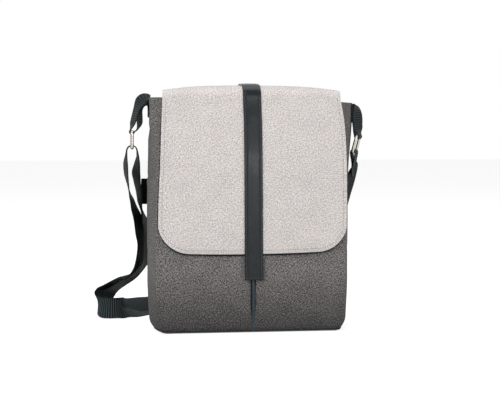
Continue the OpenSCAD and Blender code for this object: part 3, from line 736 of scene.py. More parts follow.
def finishes():
    """Every material of the bag, from the colours that the user can change."""
    c = bpy.context.scene.bag_colours
    body, flap, hide, web = c.body_cloth, c.flap_cloth, c.leather, c.webbing
    fine = {"pitch": 0.0006, "relief": 0.00008, "rough": 0.8}
    return {
        # foot darkens the body's cloth towards its base: painted shade
        "body": cloth_material("body_melange", shade(body, 0.24), rgba(body), shade(body, 2.75), 0.9,
                               sheen=0.05, foot=0.31),
        "flap": cloth_material("flap_melange", shade(flap, 0.6), rgba(flap), shade(flap, 1.42), 0.9,
                               sheen=0.04, tint=0.5),
        # near-black cloth: the flap's lining, and also painted shade in the piping's groove and below the
        # strip's end
        "dark_lining_and_shade": cloth_material("flap_lining", (0.004, 0.005, 0.009, 1), (0.008, 0.009, 0.015, 1),
                                 (0.02, 0.022, 0.03, 1), 0.5, sheen=0.0, **fine),
        "lining": cloth_material("lining_plain", shade(c.lining, 0.7), rgba(c.lining), shade(c.lining, 1.5),
                                 0.4, sheen=0.1, **fine),
        "leather": leather_material("strip_leather", rgba(hide), shade(hide, 2.6)),
        "base": leather_material("base_leather", shade(hide, 0.7), shade(hide, 2.6), pebble=1100.0, wear=0.5,
                                 gloss=0.15),
        # painted sheen: the piping is the strip's leather coloured 3.4 times lighter, standing in for the
        # sheen along its ridge
        "painted_sheen_cord": leather_material("piping_leather_painted_sheen", shade(hide, 3.4), shade(hide, 5.0), pebble=1400.0,
                                 wear=0.5, gloss=0.35),
        "webbing": webbing_material("strap_webbing", rgba(web), shade(web, 24.0), painted_rib_light=True),
        "label": webbing_material("label_tape", shade(web, 1.3), shade(web, 2.3), pitch=0.0008,
                                  relief=0.0001),
        "nickel": nickel_material("nickel_plate", rgba(c.nickel), shade(c.nickel, 0.7)),
        "light_thread": thread_material("flap_thread", tuple(0.42 * v for v in flap)),
        "dark_thread": thread_material("leather_thread", (0.05, 0.06, 0.065)),
        "body_thread": thread_material("body_thread", tuple(0.8 * v for v in body)),
        "board": board_material("base_board_fibre"),
    }


# ---------------------------------------------------------------------------
# Stitches, by Geometry Nodes along paths
# ---------------------------------------------------------------------------


def stitch_tree():
    """Lays thread beads along the edges of a mesh path, one for each pitch, with a little unevenness."""
    name = "stitch_rows"
    if name in bpy.data.node_groups:
        return bpy.data.node_groups[name]
    tree = bpy.data.node_groups.new(name, "GeometryNodeTree")
    n = Nodes(tree)
    face = tree.interface
    face.new_socket("Geometry", in_out="INPUT", socket_type="NodeSocketGeometry")
    for label, default in (("Pitch", 0.003), ("Stitch length", 0.0022), ("Thread radius", 0.0003)):
        face.new_socket(label, in_out="INPUT", socket_type="NodeSocketFloat").default_value = default
    face.new_socket("Seed", in_out="INPUT", socket_type="NodeSocketInt").default_value = 3
    face.new_socket("Thread", in_out="INPUT", socket_type="NodeSocketMaterial")
    face.new_socket("Geometry", in_out="OUTPUT", socket_type="NodeSocketGeometry")
    given, out = n.add("NodeGroupInput").outputs, n.add("NodeGroupOutput").inputs

    def node(kind, sockets, **settings):
        made = n.add(kind, **settings)
        for socket, value in sockets.items():
            n.put(made.inputs[socket], value)
        return made.outputs

    path = node("GeometryNodeMeshToCurve", {0: given["Geometry"]})[0]
    points = node("GeometryNodeCurveToPoints", {"Curve": path, "Length": given["Pitch"]}, mode="LENGTH")
    bead = node("GeometryNodeMeshUVSphere", {"Segments": 6, "Rings": 5, "Radius": 1.0})["Mesh"]
    half = node("ShaderNodeMath", {0: given["Stitch length"], 1: 0.5}, operation="MULTIPLY")[0]
    size = node("ShaderNodeCombineXYZ", {0: given["Thread radius"], 1: given["Thread radius"], 2: half})[0]
    uneven = node("FunctionNodeRandomValue",
                  {"Min": (0.9, 0.9, 0.88), "Max": (1.1, 1.1, 1.06), "Seed": given["Seed"]},
                  data_type="FLOAT_VECTOR")["Value"]
    scale = node("ShaderNodeVectorMath", {0: size, 1: uneven}, operation="MULTIPLY")[0]
    rows = node("GeometryNodeInstanceOnPoints", {"Points": points["Points"], "Instance": bead,
                                                 "Rotation": points["Rotation"], "Scale": scale})[0]
    smooth = node("GeometryNodeSetShadeSmooth", {0: node("GeometryNodeRealizeInstances", {0: rows})[0]})[0]
    n.put(out[0], node("GeometryNodeSetMaterial", {0: smooth, "Material": given["Thread"]})[0])
    return tree


def stitches(name, lines, thread, pitch=None):
    """One plain mesh of stitches along lines of points in millimetres."""
    s = bpy.context.scene.bag_sizes
    points, edges = [], []
    for line in lines:
        first = len(points)
        points += (np.asarray(line, float) * MM).tolist()
        edges += [(first + k, first + k + 1) for k in range(len(line) - 1)]
    mesh = bpy.data.meshes.new(name)
    mesh.from_pydata(points, edges, [])
    obj = bpy.data.objects.new(name, mesh)
    bpy.context.scene.collection.objects.link(obj)
    mod = obj.modifiers.new("Stitches", "NODES")
    mod.node_group = stitch_tree()
    sockets = mod.node_group.interface.items_tree
    ids = {item.name: item.identifier for item in sockets if item.in_out == "INPUT"}
    mod[ids["Pitch"]] = (pitch or s.stitch_pitch) * MM
    mod[ids["Stitch length"]] = s.stitch_length * MM
    mod[ids["Thread radius"]] = s.thread_radius * MM
    mod[ids["Seed"]] = s.seed
    mod[ids["Thread"]] = thread
    bake(obj)
    if not obj.data.materials:
        obj.data.materials.append(thread)
    return obj


def fix(obj, body, replaced=()):
    """Names a finished piece's slot, the solids that it stands for and the body that it rides on."""
    if replaced:
        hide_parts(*replaced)
    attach(obj, body)
    return obj


def finish_node(name, material):
    """Gives a material to a solid that stays as it is."""
    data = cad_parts[name].data
    data.materials.clear()
    data.materials.append(material)


def bend(obj, slot, a, b, start, end, replaced=()):
    """The same for a piece that bends across a joint. start and end are in millimetres."""
    if replaced:
        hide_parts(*replaced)
    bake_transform(obj)
    return obj


# ---------------------------------------------------------------------------
# Body
# ---------------------------------------------------------------------------


def body_rows(n=104):
    low = BASE_T + CORNER_R * (1 - np.cos(np.radians(np.arange(0, 90, 9))))
    return np.concatenate([low, np.linspace(BASE_T + CORNER_R, BODY_H, n)])


def cloth_relief(u, z, seed):
    """Soft unevenness of a padded panel: long shallow waves that fade at its edges."""
    wave = 0.35 * np.sin(z / 31 + 2.2 * u + seed) + 0.25 * np.sin(z / 17 - 3.1 * u + 1.7 * seed)
    wave += 0.3 * np.sin(5.3 * u + z / 53 + 0.6 * seed)
    return wave * (1 - np.abs(u) ** 6) * ease(z / 30) * ease((BODY_H - z) / 20)


def front_relief(x, z):
    u = x / half_w(z)
    sag = 0.9 * bump(z, 40, 34) * (1 - u ** 2)
    seam = -1.0 * bump(x, 0, 3.2) * ease((z - 3) / 8)
    side = -0.9 * bump(np.abs(x), half_w(z) - 0.6, 2.6)
    return cloth_relief(u, z, 0.4) + sag + seam + side


def back_relief(x, z):
    u = x / half_w(z)
    side = -0.9 * bump(np.abs(x), half_w(z) - 0.6, 2.6)
    return cloth_relief(u, z, 2.9) + 0.7 * bump(z, 60, 50) * (1 - u ** 2) + side


def gusset_relief(s, z, side):
    crease = -1.3 * bump(z, 187 + 5 * s, 2.6) * bump(s, -0.45, 0.6)
    crease -= 0.8 * bump(z, 96 - 8 * s, 3.5) * bump(s, -0.2, 0.5)
    crease += 0.8 * bump(z, 181 + 5 * s, 4) * bump(s, -0.45, 0.6)
    middle = -0.8 * bump(s, 0.02, 0.09) * ease((z - 60) / 120)
    wave = 0.4 * np.sin(z / 23 + 3 * s + (1.2 if side < 0 else 2.7)) * (1 - s ** 2)
    return (crease if side < 0 else 0.6 * crease) + middle + wave * ease(z / 30)


def clear_tab(s, z, relief):
    """No relief under a sewn tab, so that the webbing lies on the gusset."""
    return relief * (1 - ease((z - 236) / 10) * bump(s, 0, 0.75))


def make_body(m):
    z = body_rows()[:, None]
    u = np.linspace(-1, 1, 93)[None, :]
    x = u * half_w(z)
    relief = front_relief(x, z)
    front = round_edges(closed_sheet("body_front", settle(on_front(x, z, relief)),
                                     settle(on_front(x, z, np.minimum(relief, 0.3) * 0.6 - BODY_T)),
                                     m["body"]), 0.8)
    fix(front, "bag", ("front_panel_left", "front_panel_right"))
    relief = back_relief(x, z)
    back = round_edges(closed_sheet("body_back", settle(on_back(-x, z, relief)),
                                    settle(on_back(-x, z, np.minimum(relief, 0.3) * 0.6 - BODY_T)),
                                    m["body"]), 0.8)
    fix(back, "bag", ("back_panel",))
    s = np.linspace(-1, 1, 45)[None, :]
    for name, side, ear, drop in (("gusset_cloth_left", -1, EAR_LEFT, 0.0),
                                  ("gusset_cloth_right", 1, EAR_RIGHT, 0.8)):
        ss = s * side
        relief = clear_tab(ss, z, gusset_relief(ss, z, side))
        outer = on_gusset(ss, z, side, ear, drop, relief)
        inner = on_gusset(ss, z, side, ear, drop, np.minimum(relief, 0.3) * 0.6 - BODY_T)
        cloth = round_edges(closed_sheet(name, settle(outer), settle(inner), m["body"]), 0.8)
        fix(cloth, "bag", ("gusset_left" if side < 0 else "gusset_right",))
    low = BASE_T + BOARD_T + 2 * SEAM
    levels = np.concatenate([np.linspace(low, CORNER_R, 8),
                             np.linspace(CORNER_R + 6, BODY_H - LINING_RIM, 40)])
    inset = BODY_T + LINING_GAP
    rings = [body_outline(v, inset) for v in levels]
    rings += [body_outline(max(v, low + LINING_T), inset + LINING_T) for v in levels[::-1]]
    bag = ring_solid("lining_bag", [settle(r) for r in rings], m["lining"])
    fix(bag, "bag", ("lining",))
    finish_node("base_board", m["board"])
    make_label(m)


def make_label(m):
    """A blank woven tab: a folded tape that stands out of the left rear seam."""
    z = np.linspace(LABEL_Z, LABEL_Z + LABEL_H, 22)[:, None]
    out = np.linspace(LABEL_W + 2.6, 0.3, 14)[None, :]
    curl = 0.5 * np.sin(z / 9) * out / LABEL_W + 0.25 * (out / LABEL_W) ** 2
    px = -half_w(z) - out
    py = half_d(z) - 1.1 + curl
    outer = np.stack(np.broadcast_arrays(px, py - 0.5, z), -1)
    inner = np.stack(np.broadcast_arrays(px, py + 0.5, z), -1)
    label = closed_sheet("blank_label", outer, inner, m["label"])
    fix(round_edges(label, 0.35, 2), "bag", ("side_label",))


# ---------------------------------------------------------------------------
# Base and centre piping
# ---------------------------------------------------------------------------


def make_base(m):
    steps = [(0.0, -0.2), (0.0, -0.9), (0.35, -LIP_T), (1.2, -LIP_T), (2.1, -LIP_T - 0.05), (3.0, -LIP_T),
             (3.7, -LIP_T + 0.05), (4.2, -0.95), (4.45, -0.6), (BASE_LIP, -0.3), (BASE_LIP - 0.1, -SEAM),
             (3.2, -SEAM), (2.53, -SEAM), (BASE_T, -SEAM)]
    # the lip shows as a narrow dark edge
    steps = [(z if z <= BASE_T else BASE_T + 0.42 * (z - BASE_T), inset) for z, inset in steps]
    base = ring_solid("leather_base", [settle(body_outline(z, inset, 88, 30)) for z, inset in steps],
                      m["base"], sharp=60)
    fix(base, "bag", ("base_panel",))
    z = np.linspace(BASE_T, STRIP_Z + 60, 90)[:, None]
    z = np.concatenate([z, np.linspace(STRIP_Z + 62, BODY_H, 30)[:, None]])
    a = np.radians(np.linspace(180, 0, 15))[None, :]
    r = 1.9
    stand = (0.3 + 1.9 * ease((z - 18) / 14)) * ease((z - 2) / 2) * (1 - ease((z - STRIP_Z - 1) / 3))
    lie = front_relief(0 * z, z) + 0.9
    wobble = 1.6 + 0.5 * ease((40 - z) / 40) + 0.12 * np.sin(z / 6.3) + 0.1 * np.sin(z / 15.1 + 1)
    outer = on_front(r * np.cos(a) + 0 * z, z, lie + stand * np.sin(a) - 0.35 + 0 * z)
    inner = on_front(r * np.cos(a) + 0 * z, z, -BODY_T + 0 * a)
    for side in (outer, inner):
        side[..., 0] += wobble
    piping = closed_sheet("centre_piping_cord", outer, inner, m["painted_sheen_cord"])
    # painted shade: a near-black band under the cord, wider than it, stands in for the shade in the seam
    # groove on both sides of the piping
    flat = np.linspace(-1, 1, 9)[None, :]
    zt = z[z[:, 0] < STRIP_Z + 12]
    wide = 3.3 - 1.2 * ease((34 - zt) / 20)
    tape = [on_front(flat * wide, zt, front_relief(flat * wide, zt) + off) for off in (0.3, -1.2)]
    for side in tape:
        side[..., 0] += wobble[:len(zt)]
    fix(closed_sheet("centre_piping_groove_shade", tape[0], tape[1], m["dark_lining_and_shade"]), "bag")
    # painted shadow: a near-black patch just below the strip's end stands in for the strip end's shadow on
    # the body
    zt = np.linspace(STRIP_Z - 2.6, STRIP_Z + 1.5, 6)[:, None]
    strip_end_shadow = [on_front(flat * 3.1, zt, off + 0 * flat) for off in (1.9, -0.2)]
    for side in strip_end_shadow:
        side[..., 0] += 2.0
    fix(round_edges(closed_sheet("strip_end_painted_shadow", strip_end_shadow[0], strip_end_shadow[1], m["dark_lining_and_shade"]), 0.7), "bag")
    fix(piping, "bag", ("centre_piping",))


# ---------------------------------------------------------------------------
# Flap and strip
# ---------------------------------------------------------------------------

BACK_FOLD = ((0, 30, 278), (0, 30, 288))
FRONT_FOLD = ((0, -30, 288), (0, -30, 277))
# the flap's rows over the mouth, close together at its folds
FRONT_ARC = np.radians(np.concatenate([np.linspace(2, 30, 10), np.linspace(36, 90, 12)]))
BACK_ARC = np.radians(np.concatenate([np.linspace(178, 150, 10), np.linspace(144, 90, 12)]))


# The hanging flap's side edges: height, left and right. It hangs a little askew.
FLAP_SIDES = [(60, -112.6, 115.8), (122, -112.6, 115.8), (160, -111.8, 116.6), (207, -109.6, 116.6),
              (240, -108.6, 115.4), (262, -107.8, 113.2), (272, -107.4, 111.2), (FOLD_Z, -107.0, 109.4),
              (310, -107.0, 108.0)]
CORNER_LEFT, CORNER_RIGHT = 37.0, 34.0
STRIP_MIDDLE = [(60, 2.4), (94, 1.8), (255, 1.6), (FOLD_Z, 1.0), (310, 0.7)]


def soft(table, column, z):
    """A table's column at a height, with its corners smoothed away."""
    t = np.array(table, float)
    return sum(np.interp(z + d, t[:, 0], t[:, column]) for d in (-9, -5, -1.5, 1.5, 5, 9)) / 6


def sway(points):
    """The strip hangs a little askew with the flap."""
    out = points.copy()
    forward = ease((38 - points[..., 1]) / 60)
    out[..., 0] += soft(STRIP_MIDDLE, 1, points[..., 2]) * forward
    return out


def flap_x(u, z, inset=0.0):
    """Across the hanging flap from its left edge at -1 to its right edge at 1."""
    low = z - FLAP_Z
    left = soft(FLAP_SIDES, 1, z) + inset + tuck(np.maximum(low - inset, 0), CORNER_LEFT - inset)
    right = soft(FLAP_SIDES, 2, z) - inset - tuck(np.maximum(low - inset, 0), CORNER_RIGHT - inset)
    return lerp(left, right, (u + 1) / 2)


def bottom_sag(x, z):
    """The lower edge hangs lowest a little left of its middle."""
    u = np.clip(x / 100, -1.1, 1.1)
    return (1.9 + 0.45 * u + 2.2 * u ** 2) * (1 - ease((z - FLAP_Z) / 60))


REAR_INSET = 4.1


def flap_arch(u, a, off):
    """The flap over the mouth. Its rear falls off towards the sides, and its front joins the askew drop."""
    forward = (1 + np.cos(a)) / 2
    left = lerp(REAR_INSET - FLAP_TOP_W / 2, float(soft(FLAP_SIDES, 1, FOLD_Z)), forward)
    right = lerp(FLAP_TOP_W / 2, float(soft(FLAP_SIDES, 2, FOLD_Z)), forward)
    p = arch(lerp(left, right, (u + 1) / 2), a, off)
    fall = 8.2 * np.abs(u) ** 6 * ease((a - 0.5) / 1.6) * np.sin(a) ** 0.6
    p[..., 2] -= fall
    return p


def flap_swell(x, z):
    """How far the flap stands off the body beyond its rest: fullness, soft waves and a lifted edge."""
    u = np.clip(x / (FLAP_W / 2), -1.1, 1.1)
    down = np.clip((FOLD_Z - z) / FLAP_DROP, 0, 1)
    full = 1.1 * np.sin(np.pi * np.clip(down, 0, 1)) * (1 - u ** 2)
    wave = 0.45 * np.sin(3.4 * u + down * 4) * down + 0.3 * np.sin(7 * u - down * 3 + 1) * down ** 2
    lift = 0.9 * bump(down, 1.0, 0.12) * (0.35 + 0.65 * np.abs(u) ** 2)
    roll = 1.3 * bump(z, 208, 34) * (1 - 0.4 * u ** 2)
    return np.maximum(full + wave + lift + roll + 0.25, 0.0) * ease(down / 0.12)


def over_bag(columns, a_list, off, margin=0.0):
    """Rows over the arch for the given angles, at an offset from the lining's inside."""
    u = np.linspace(-1, 1, columns)[None, :] * (1 - margin)
    return flap_arch(u, np.asarray(a_list)[:, None], off)


def flap_rows(columns, off, extra=0.0, edge=0.0):
    """The front drop, from its lower edge up to the fold."""
    turn = CORNER_LEFT
    z = np.concatenate([turn * (1 - np.cos(np.radians(np.arange(0, 90, 5)))),
                        np.linspace(turn, FOLD_Z - FLAP_Z, 70)])
    z = FLAP_Z + z[:, None]
    u = np.linspace(-1, 1, columns)[None, :]
    more = extra * ease((FOLD_Z - z) / 40)
    x = flap_x(u, z) + u * more
    down = edge * ease((FLAP_Z + 30 - z) / 30)
    zz = z + bottom_sag(x, z) - down * np.sqrt(np.maximum(0, 1 - (np.abs(u) ** 3) * 0.5))
    return on_front(x, zz, FLAP_CLEAR + off + flap_swell(x, z)), x, z


def hem_rows(half, columns, off):
    z = np.linspace(FOLD_Z - HEM_H, FOLD_Z, 12)[:, None]
    u = np.linspace(1, -1, columns)[None, :]
    x = lerp(REAR_INSET - half, half, (u + 1) / 2)
    return on_back(x, z, off + 0.3 * ease((z - FOLD_Z + 8) / 8) + 0 * u)


def make_flap(m):
    columns = 89
    half = FLAP_TOP_W / 2
    for name, material, low, high, slot, extra, edge, margin, fronts, tops in (
        ("flap_cloth", m["flap"], FACE_IN, FACE_OUT, "flap_fabric", 0.0, 0.0, 0.0,
         ("flap_face_front",), ("flap_face_top", "flap_hem")),
        # the backing is let down 2.3 mm below the cloth in near-black: partly the real lining showing, partly
        # painted shadow under the flap's edge
        ("flap_backing", m["dark_lining_and_shade"], 0.0, FLAP_LINING_T, "lining_fabric", LINING_SHOW, 2.3, 0.012,
         ("flap_lining_front",), ("flap_lining_top",)),
    ):
        outer = np.vstack([flap_rows(columns, high, extra, edge)[0],
                           over_bag(columns, FRONT_ARC, high, margin)])
        inner = np.vstack([flap_rows(columns, low, extra, edge)[0],
                           over_bag(columns, FRONT_ARC, low, margin)])
        piece = closed_sheet(name + "_front", outer, inner, material)
        if name == "flap_cloth":
            round_edges(piece, 0.9)
        bend(piece, slot, "flap_top", "flap_front", *FRONT_FOLD, replaced=fronts)
        outer = over_bag(columns, BACK_ARC, high, margin)[:, ::-1]
        inner = over_bag(columns, BACK_ARC, low, margin)[:, ::-1]
        if name == "flap_cloth":
            outer = np.vstack([hem_rows(half, columns, high), outer])
            inner = np.vstack([hem_rows(half, columns, SEAM + FLAP_LINING_T), inner])
        else:
            outer = np.vstack([hem_rows(half, columns, SEAM + FLAP_LINING_T - 0.05), outer])
            inner = np.vstack([hem_rows(half, columns, low + SEAM), inner])
        piece = closed_sheet(name + "_top", outer, inner, material)
        if name == "flap_cloth":
            round_edges(piece, 0.9)
        bend(piece, slot, "bag", "flap_top", *BACK_FOLD, replaced=tops)


def strip_profile(u, thick):
    """The strip is pressed along its stitch rows and slightly domed between them."""
    groove = bump(np.abs(u), 0.8, 0.09)
    return thick - 0.35 * groove + 0.25 * (1 - u ** 2) - 0.3 * np.abs(u) ** 10


def strip_lie(x, z):
    """How far the strip stands out: it lies on the flap to its edge, and then comes back to the body."""
    lie = flap_swell(0 * x + 0 * z, np.maximum(z, FLAP_Z)) * ease((z - STRIP_Z - 4) / 30)
    return np.where(z < FLAP_Z, lie * (0.55 + 0.45 * ease((z - STRIP_Z) / STRIP_REACH)), lie)


def strip_front_rows(low, high, columns, off, domed):
    z = np.linspace(low, high, 90)[:, None]
    u = np.linspace(-1, 1, columns)[None, :]
    x = u * STRIP_W / 2
    return on_front(x, z, FLAP_CLEAR + off + (strip_profile(u, 0) if domed else 0) + strip_lie(x, z))


def make_strip(m):
    columns = 25
    half = STRIP_W / 2
    u = np.linspace(-1, 1, columns)[None, :]
    domed = STRIP_IN + strip_profile(u, STRIP_T)
    outer = np.vstack([strip_front_rows(STRIP_Z, FOLD_Z, columns, STRIP_IN + STRIP_T, True),
                       arch(u * half, FRONT_ARC[:, None], domed)])
    inner = np.vstack([strip_front_rows(STRIP_Z, FOLD_Z, columns, STRIP_IN, False),
                       arch(u * half, FRONT_ARC[:, None], STRIP_IN + 0 * u)])
    piece = round_edges(closed_sheet("leather_strip_front", sway(outer), sway(inner), m["leather"]), 0.5)
    bend(piece, "leather", "flap_top", "flap_front", *FRONT_FOLD, replaced=("strip_front",))
    z = np.linspace(FOLD_Z - HEM_H, FOLD_Z, 14)[:, None]
    seat = 0.3 * ease((z - FOLD_Z + 8) / 8)
    outer = np.vstack([on_back(-u * half, z, domed + seat),
                       arch(u * half, BACK_ARC[:, None], domed)[:, ::-1]])
    inner = np.vstack([on_back(-u * half, z, STRIP_IN + seat + 0 * u),
                       arch(u * half, BACK_ARC[:, None], STRIP_IN + 0 * u)[:, ::-1]])
    piece = round_edges(closed_sheet("leather_strip_top", outer, inner, m["leather"]), 0.5)
    bend(piece, "leather", "bag", "flap_top", *BACK_FOLD, replaced=("strip_top", "strip_hem"))


# ---------------------------------------------------------------------------
# Rings, slider and snap
# ---------------------------------------------------------------------------

LEFT_X = gusset_out(EAR_LEFT, 0.0)
RIGHT_X = gusset_out(EAR_RIGHT, RIGHT_YAW)
LEFT_BAR_Z = BODY_H - RING_DROP
RIGHT_BAR_Z = BODY_H - EAR_DROP - RING_DROP
RIGHT_DIR = np.array([math.cos(RIGHT_YAW), -math.sin(RIGHT_YAW), 0])
RIGHT_ACROSS = np.array([math.sin(RIGHT_YAW), math.cos(RIGHT_YAW), 0])
UPRIGHT = np.array([0.0, 0.0, 1.0])


def ring_path():
    """The wire's centre line in its own plane: across, and down from the upper bar."""
    half, bend_r = (RING_W + WIRE_D) / 2, 3.4
    out = []
    for cy, cz, a0 in ((half - bend_r, -bend_r, 0), (-half + bend_r, -bend_r, 90),
                       (-half + bend_r, bend_r - RING_PITCH, 180),
                       (half - bend_r, bend_r - RING_PITCH, 270)):
        out += [(cy + bend_r * math.cos(math.radians(a0 + a)),
                 cz + bend_r * math.sin(math.radians(a0 + a))) for a in range(0, 91, 9)]
    line = np.array(out)
    closed = np.vstack([line, line[:1]])
    return even(np.hstack([closed, np.zeros((len(closed), 1))]), 0.9)[:-1, :2]


def make_hardware(m):
    path = ring_path()
    left = np.stack([np.full(len(path), -LEFT_X - LEFT_OUT), path[:, 0], LEFT_BAR_Z + path[:, 1]], -1)
    fix(swept_tube("wire_ring_left", left, WIRE_D / 2, m["nickel"]), "ring_left", ("ring_left",))
    down = path[:, 1:2] * np.array([[math.sin(RIGHT_LEAN), math.cos(RIGHT_LEAN)]])
    reach = RIGHT_OUT + down[:, 0]
    right = np.array([RIGHT_X, 0, RIGHT_BAR_Z]) + reach[:, None] * RIGHT_DIR + path[:, :1] * RIGHT_ACROSS
    right = right + down[:, 1:] * UPRIGHT
    fix(swept_tube("wire_ring_right", right, WIRE_D / 2, m["nickel"]), "ring_right",
        ("ring_right",))
    for node in ("snap_socket", "snap_washer", "snap_stud", "strap_slider"):
        finish_node(node, m["nickel"])


# ---------------------------------------------------------------------------
# Tabs
# ---------------------------------------------------------------------------

LEFT_OVER = [[0.17, 1.0], [0.36, 0.96], [0.54, 0.84], [0.71, 0.66], [0.86, 0.4], [1.03, 0.12]]
LEFT_UNDER = [[0.66, 0.07], [0.52, 0.25], [0.53, 0.45], [0.54, 0.64], [0.47, 0.785], [0.34, 0.9], [0.2, 0.95]]
RIGHT_OVER = [[0.35, 0.985], [0.6, 0.93], [0.78, 0.79], [0.86, 0.56], [0.88, 0.33], [1.1, 0.12]]
RIGHT_UNDER = [[0.45, 0.16], [0.42, 0.36], [0.42, 0.56], [0.46, 0.74], [0.42, 0.86]]


def tab_line(out, over, under):
    """Both layers of a tab in its plane: away from the gusset, and up from the ring's upper bar."""
    inner = LOOP_GAP + WEB_T / 2
    outer, top = inner + LAYER, RING_DROP
    scale = np.array([out, top])
    first = np.vstack([[[inner, top - TAB_SEWN], [inner, top - TAB_SEWN / 2], [inner, top - 3]],
                       np.array(over) * scale,
                       [[out + RING_LOOP_R, 0]]])
    turn = np.radians(np.arange(-18, -163, -18))
    loop = np.stack([out + RING_LOOP_R * np.cos(turn), RING_LOOP_R * np.sin(turn)], -1)
    last = np.vstack([[[out - RING_LOOP_R, 0]], np.array(under) * scale,
                      [[outer, top - 3], [outer, top - TAB_SEWN / 2], [outer, top - TAB_SEWN]]])
    return np.vstack([curve(first, 5), loop, curve(last, 5)])


def tab_frame(side):
    """A tab's plane: a point on the gusset at the ring bar's height, the way out, and the way across."""
    if side < 0:
        return np.array([-LEFT_X, 0, LEFT_BAR_Z]), np.array([-1.0, 0.0, 0.0]), np.array([0.0, 1.0, 0.0])
    return np.array([RIGHT_X, 0, RIGHT_BAR_Z]), RIGHT_DIR, RIGHT_ACROSS


def sunk(reach, side):
    """The left tab's sewn end is pulled into the gusset; its free part isn't."""
    return TAB_DENT * (1 - ease((reach - 2.6) / 6)) if side < 0 else 0 * reach


def place_tab(line, side):
    """A tab's stations. Its face turns to the front between seam and ring, and it leans at the crown."""
    foot, out, across = tab_frame(side)
    height = line[:, 1] / RING_DROP
    lowered = line[:, 1] - (TAB_DROP_LEFT if side < 0 else TAB_DROP_RIGHT) * ease(height)
    flat = np.stack([line[:, 0] - sunk(line[:, 0], side), lowered], -1)
    t = unit(np.gradient(flat, axis=0))
    normal = -t[:, 1:] * out + t[:, :1] * UPRIGHT
    middle, crown = ((0.25, 0.42) if side < 0 else (0.37, -0.1))
    turn = middle * bump(height, 0.5, 0.7) * ease((line[:, 0] - 2) / 4)
    turn += crown * bump(height, 1.0, 0.22) * ease(line[:, 0] - 1.2)
    turn = turn * ease((height - 0.02) / 0.25) * np.where(np.arange(len(line)) < len(line) / 2, 1, -1)
    at = foot + flat[:, :1] * out + flat[:, 1:] * UPRIGHT
    return np.hstack([at, unit(across * np.cos(turn)[:, None] + normal * np.sin(turn)[:, None])])


def make_tabs(m):
    for name, side, out, over, under in (("tab_webbing_left", -1, LEFT_OUT, LEFT_OVER, LEFT_UNDER),
                                         ("tab_webbing_right", 1, RIGHT_OUT, RIGHT_OVER, RIGHT_UNDER)):
        stations = even(place_tab(tab_line(out, over, under), side), 1.4)
        tab = outward(band(name, stations, WEB_W, WEB_T, m["webbing"], start=0.4 * side))
        fix(tab, "bag", ("tab_left" if side < 0 else "tab_right",))


# ---------------------------------------------------------------------------
# Strap
# ---------------------------------------------------------------------------

# Stations of the strap: x, y, z of its middle, and the direction across it, which turns over at the floor.
# The first two routes run from the slider's end of the floor to the left ring, the third to the right ring.
UNDER_ROUTE = [
    (-60.0, 156.1, 13.1, 0.00, 0.00, 1.00), (-82.0, 160.0, 12.6, 0.00, 0.30, 0.95),
    (-100.0, 162.0, 10.6, 0.00, 0.65, 0.76), (-115.7, 158.0, 9.4, 0.00, 0.83, 0.56),
    (-130.0, 141.0, 9.8, -0.10, 0.80, 0.60), (-143.0, 121.0, 11.0, -0.10, 0.70, 0.70),
    (-153.8, 102.0, 13.2, 0.01, 0.05, 1.00), (-163.5, 99.0, 13.2, 0.01, 0.05, 1.00),
    (-171.9, 101.0, 13.2, 0.05, 0.04, 1.00), (-177.0, 107.0, 14.3, 0.03, -0.00, 1.00),
    (-178.3, 113.0, 17.4, -0.09, -0.09, 0.99), (-175.7, 117.0, 23.1, -0.34, -0.42, 0.84),
    (-170.7, 116.0, 29.5, -0.55, -0.68, 0.48), (-164.6, 111.0, 35.0, -0.70, -0.71, 0.10),
    (-145.9, 92.0, 49.3, -0.64, -0.76, 0.07), (-137.0, 80.0, 57.4, -0.57, -0.82, -0.06),
    (-129.9, 68.0, 66.3, -0.45, -0.89, -0.06), (-124.8, 58.0, 74.6, -0.40, -0.91, 0.03),
    (-122.6, 51.0, 84.4, -0.39, -0.92, -0.00), (-122.1, 43.0, 101.6, -0.44, -0.90, -0.00),
    (-122.7, 38.0, 116.1, -0.40, -0.91, -0.03), (-125.2, 32.0, 126.9, -0.29, -0.96, -0.05),
    (-128.4, 27.0, 135.7, -0.19, -0.98, -0.02), (-130.5, 22.0, 143.5, 0.01, -1.00, 0.02),
    (-132.3, 17.0, 152.3, 0.13, -0.99, -0.00), (-133.8, 10.0, 166.9, 0.21, -0.98, -0.00),
    (-136.1, 5.0, 179.8, 0.27, -0.96, -0.00), (-137.2, 2.0, 190.4, 0.36, -0.93, -0.00),
    (-135.9, 0.5, 202.0, 0.23, -0.97, -0.00), (-135.1, 0.0, 211.2, 0.06, -1.00, -0.00),
]
